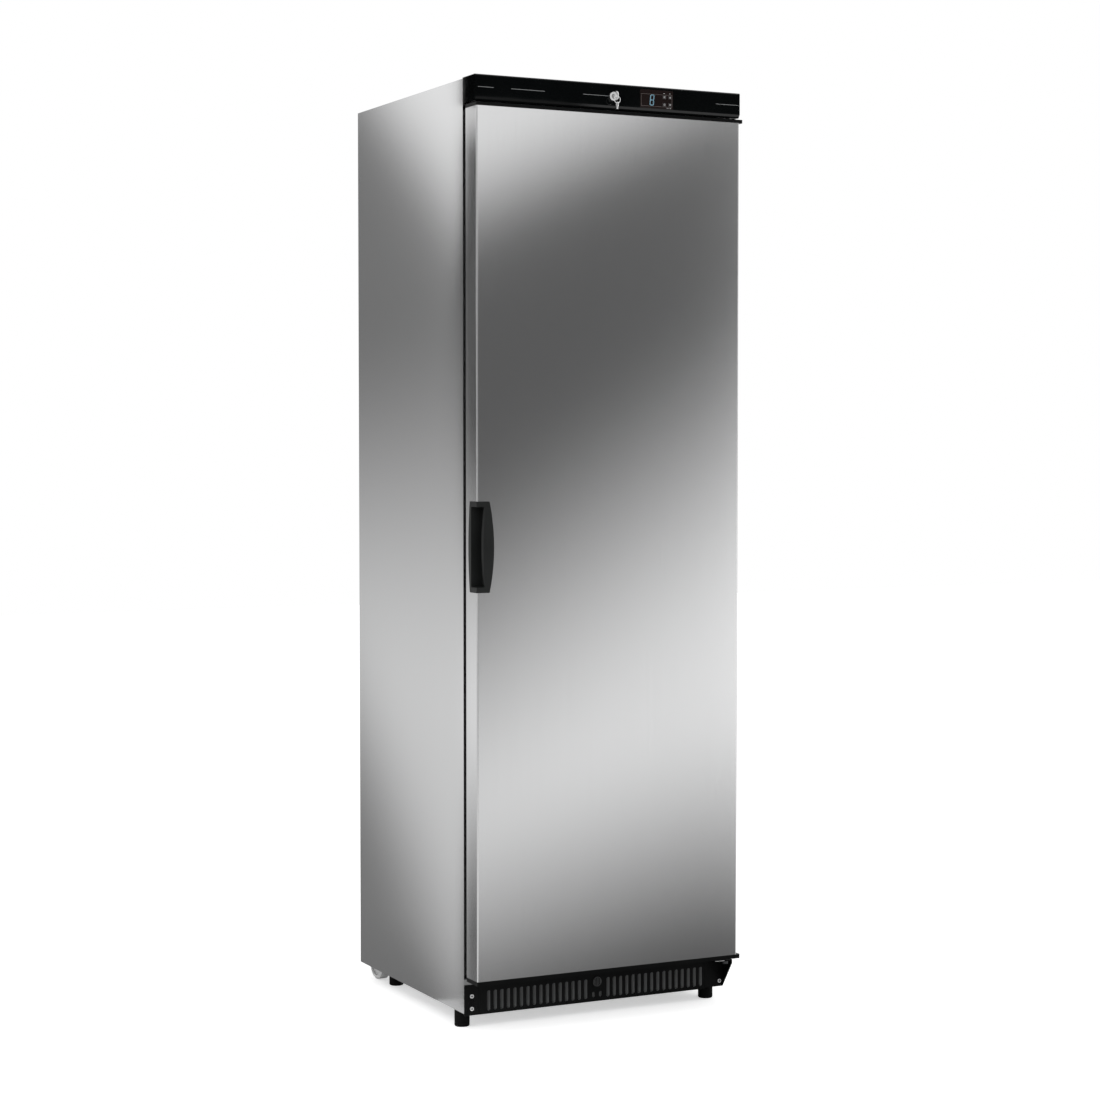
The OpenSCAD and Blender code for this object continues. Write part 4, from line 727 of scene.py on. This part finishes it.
def make_world():
    """White to the camera, a plain level to matt surfaces, and bands of light to gloss."""
    world = bpy.data.worlds.new("studio")
    bpy.context.scene.world = world
    world.use_nodes = True
    g = Glow(world.node_tree)
    way = g.add("TexCoord").outputs["Generated"]
    up = g.add("SeparateXYZ", {"Vector": way}).outputs[2]
    path = g.add("LightPath").outputs
    bands = g.math("ADD", g.fade(up, *HORIZON_BAND), g.fade(up, *UPPER_BAND))
    unseen = g.choose(path["Is Glossy Ray"], PLAIN_LEVEL, bands)
    level = g.choose(path["Is Camera Ray"], unseen, 1.0)
    background = g.add("Background", {"Color": LIGHT_COLOUR, "Strength": level})
    g.add("OutputWorld", {"Surface": background.outputs[0]})


def stage_plane(name, corners, material):
    """A flat piece of the stage with four corners."""
    data = bpy.data.meshes.new(name)
    data.from_pydata([tuple(c) for c in corners], [], [(0, 1, 2, 3)])
    data.materials.append(material)
    plane = bpy.data.objects.new(name, data)
    bpy.context.scene.collection.objects.link(plane)
    return plane


def gloss_card(name, corners, material):
    """A card that only gloss sees, so it lights nothing and hides nothing."""
    plane = stage_plane(name, corners, material)
    plane.visible_camera = False
    plane.visible_diffuse = False
    plane.visible_transmission = False
    plane.visible_volume_scatter = False
    plane.visible_shadow = False


def upright(x0, x1, y, z0, z1):
    """Corners of an upright card that faces the front."""
    return [(x0, y, z0), (x1, y, z0), (x1, y, z1), (x0, y, z1)]


def make_floor():
    """A pale matt floor, lifted to white for the camera but not deep under the cabinet."""
    material = bpy.data.materials.new("pale_floor")
    material.use_nodes = True
    g = Glow(material.node_tree)
    path = g.add("LightPath").outputs
    matt = g.add("BsdfDiffuse", {"Color": FLOOR_COLOUR})
    axes = g.add("SeparateXYZ", {"Vector": g.add("TexCoord").outputs["Object"]}).outputs
    across = g.math("MULTIPLY", g.fade(axes[0], *UNDER_LEFT), g.fade(axes[0], *UNDER_RIGHT))
    deep = g.math("MULTIPLY", g.fade(axes[1], *UNDER_FRONT), g.fade(axes[1], *UNDER_BACK))
    under = g.math("MULTIPLY", across, deep)
    shown = g.math("MULTIPLY_ADD", under, -FLOOR_LIFT, FLOOR_LIFT)
    level = g.math("MULTIPLY", path["Is Camera Ray"], shown)
    lift = g.add("Emission", {"Color": LIGHT_COLOUR, "Strength": level})
    both = g.add("AddShader", {0: matt.outputs[0], 1: lift.outputs[0]})
    g.add("OutputMaterial", {"Surface": both.outputs[0]})
    corners = [(-FLOOR_HALF, -FLOOR_HALF, 0.0), (FLOOR_HALF, -FLOOR_HALF, 0.0),
               (FLOOR_HALF, FLOOR_HALF, 0.0), (-FLOOR_HALF, FLOOR_HALF, 0.0)]
    stage_plane("floor", corners, material)


def card_material(name, level_of, one_sided=False):
    """An emissive card, clear from its back if it is one-sided.

    level_of makes its brightness from the node tree and the place in the row's frame.
    """
    material = bpy.data.materials.new(name)
    material.use_nodes = True
    g = Glow(material.node_tree)
    place = g.add("TexCoord").outputs["Object"]
    axes = g.add("SeparateXYZ", {"Vector": place}).outputs
    light = g.add("Emission", {"Color": LIGHT_COLOUR, "Strength": level_of(g, axes)}).outputs[0]
    if one_sided:
        back = g.add("NewGeometry").outputs["Backfacing"]
        clear = g.add("BsdfTransparent").outputs[0]
        light = g.add("MixShader", {0: back, 1: light, 2: clear}).outputs[0]
    g.add("OutputMaterial", {"Surface": light})
    return material


# A reflector lies this high over the floor and starts this far before its face
CARD_LIFT = 0.4 * MM
CARD_START = 0.02

# The side panel's middle line, along which its heights of light are given
SIDE_MIDDLE_Y = 0.03

# The light past a face's far end fades in between these distances from its middle
BESIDE_START, BESIDE_END = 0.37, 0.43


def reflector(name, centre, axis, distance, half_width, top, base, upper, rise, fall, beside=0.0):
    """A tall card and the floor before it, where the camera's view of a flat face is mirrored to.

    They carry an upper and a lower soft light. Each edge of light is (start, end, slope, gain): the
    heights at which it shows on the face's middle line, its tilt along the face, and its strength.
    The fall cuts the rise off again at the bottom. beside is more light past the face's far end,
    which only the undersides mirror.
    """
    other = 1 - axis
    eye = CAMERA_AT.copy()
    eye[axis] = 2 * centre[axis] - eye[axis]

    def level(g, axes):
        share = g.math("DIVIDE", centre[axis] - eye[axis], g.math("SUBTRACT", axes[axis], eye[axis]))
        aside = g.math("SUBTRACT", axes[other], eye[other])
        along = g.math("MULTIPLY_ADD", aside, share, eye[other] - centre[other])
        height = g.math("MULTIPLY_ADD", g.math("SUBTRACT", axes[2], eye.z), share, eye.z)

        def edge(start, end, slope, gain):
            return g.fade(g.math("MULTIPLY_ADD", along, -slope, height), start, end, 0.0, gain)

        lower = g.math("MULTIPLY", edge(*rise), edge(*fall))
        total = g.math("ADD", g.math("ADD", edge(*upper), lower), base)
        return g.math("ADD", total, g.fade(along, BESIDE_START, BESIDE_END, 0.0, beside))

    material = card_material(name, level)
    ray = centre - eye
    ray.z = 0.0
    ray.normalize()
    across = Vector((-ray.y, ray.x, 0.0)) * half_width
    far = centre + ray * distance
    near = centre + ray * CARD_START
    far.z = near.z = CARD_LIFT
    up = Vector((0.0, 0.0, top))
    gloss_card(name, (far - across, far + across, far + across + up, far - across + up), material)
    gloss_card(name + "_floor", (near - across, near + across, far + across, far - across), material)


def make_cards():
    """The cards that the door, the side panel and the header mirror to the camera."""
    door_centre = Vector((0.0, SKIN_LOW.y, 0.0))
    reflector("card_front", door_centre, axis=1, distance=1.5, half_width=0.95, top=3.2, base=0.13,
              upper=(1.67, 1.93, 0.46, 1.03), rise=(1.36, 0.54, 0.64, 0.99), fall=(0.04, 0.6, 0.24, 1.0),
              beside=0.9)
    side_centre = Vector((SIDE_LOW.x, SIDE_MIDDLE_Y, 0.0))
    reflector("card_side", side_centre, axis=0, distance=1.0, half_width=0.9, top=2.8, base=0.23,
              upper=(1.675, 1.96, 0.68, 0.95), rise=(1.49, 0.59, -0.1, 0.67), fall=(0.08, 0.6, 0.85, 1.0))
    door_edge_card()
    header_flags()


# Cards beside the cabinet's front: their plane, their outer edge, and the height that parts the
# door's light from the header's flag
NEAR_CARD_Y = -0.07
NEAR_CARD_FAR = 0.145
NEAR_CARD_PART = HEADER_LOW.z + 0.024
DOOR_CARD_NEAR = 0.083
DOOR_CARD_FOOT = 0.001
SIDE_FLAG_NEAR = 0.079
SIDE_FLAG_TOP = HEADER_HIGH.z + 0.1

# The light that the door's left side mirrors, as fades (start, end, low, high) over the height
DOOR_CARD_UPPER = (1.765, 1.875, 0.03, 0.8)
DOOR_CARD_RISE = (1.27, 0.62)
DOOR_CARD_FALL = (0.12, 0.62, 0.08, 1.0)

# The dark card before the header
FLAG_X0, FLAG_X1 = -0.3, 0.45
FLAG_Y = FRONT_Y - 0.12
FLAG_Z0, FLAG_Z1 = HEADER_HIGH.z - 0.026, HEADER_HIGH.z + 0.065


def door_edge_card():
    """A narrow card that only the left side of the door mirrors to the camera."""
    def level(g, axes):
        upper = g.fade(axes[2], *DOOR_CARD_UPPER)
        rise = g.fade(axes[2], *DOOR_CARD_RISE)
        fall = g.fade(axes[2], *DOOR_CARD_FALL)
        return g.math("MULTIPLY_ADD", rise, fall, upper)

    near_card("card_door_edge", DOOR_CARD_NEAR, DOOR_CARD_FOOT, NEAR_CARD_PART, level)


def header_flags():
    """Dark cards that keep the upper light out of the front and the left side of the black header."""
    def dark(g, axes):
        return 0.0

    gloss_card("flag_header", upright(FLAG_X0, FLAG_X1, FLAG_Y, FLAG_Z0, FLAG_Z1),
               card_material("flag_header", dark))
    near_card("flag_header_side", SIDE_FLAG_NEAR, NEAR_CARD_PART, SIDE_FLAG_TOP, dark)


def near_card(name, near, z0, z1, level_of):
    """A card beside the cabinet's front, so near to its left side, that shows from the front alone."""
    corners = upright(SIDE_LOW.x - NEAR_CARD_FAR, SIDE_LOW.x - near, NEAR_CARD_Y, z0, z1)
    gloss_card(name, corners, card_material(name, level_of, one_sided=True))


def make_lamp(name, place, target, size, watts):
    """A square area light that gloss doesn't see."""
    data = bpy.data.lights.new(name, "AREA")
    data.shape = "SQUARE"
    data.size = size
    data.energy = watts
    lamp = bpy.data.objects.new(name, data)
    lamp.location = place
    lamp.rotation_euler = (Vector(target) - Vector(place)).to_track_quat("-Z", "Y").to_euler()
    bpy.context.scene.collection.objects.link(lamp)
    lamp.visible_glossy = False


def make_lamps():
    make_lamp("key_lamp", place=(-2.6, -3.2, 3.4), target=(0.0, 0.0, 1.0), size=2.0, watts=60.0)
    make_lamp("fill_lamp", place=(2.8, -2.6, 2.4), target=(0.0, 0.0, 0.9), size=2.0, watts=25.0)


def main():
    dress_nodes()
    pinstripe()
    display_marks()
    key_marks()
    grille_boss()
    grille_slot_shade()
    screw_cross_shade()
    bracket_edge_highlight()
    make_camera()
    make_world()
    make_floor()
    make_cards()
    make_lamps()
    bpy.context.scene.view_settings.view_transform = "Standard"


main()
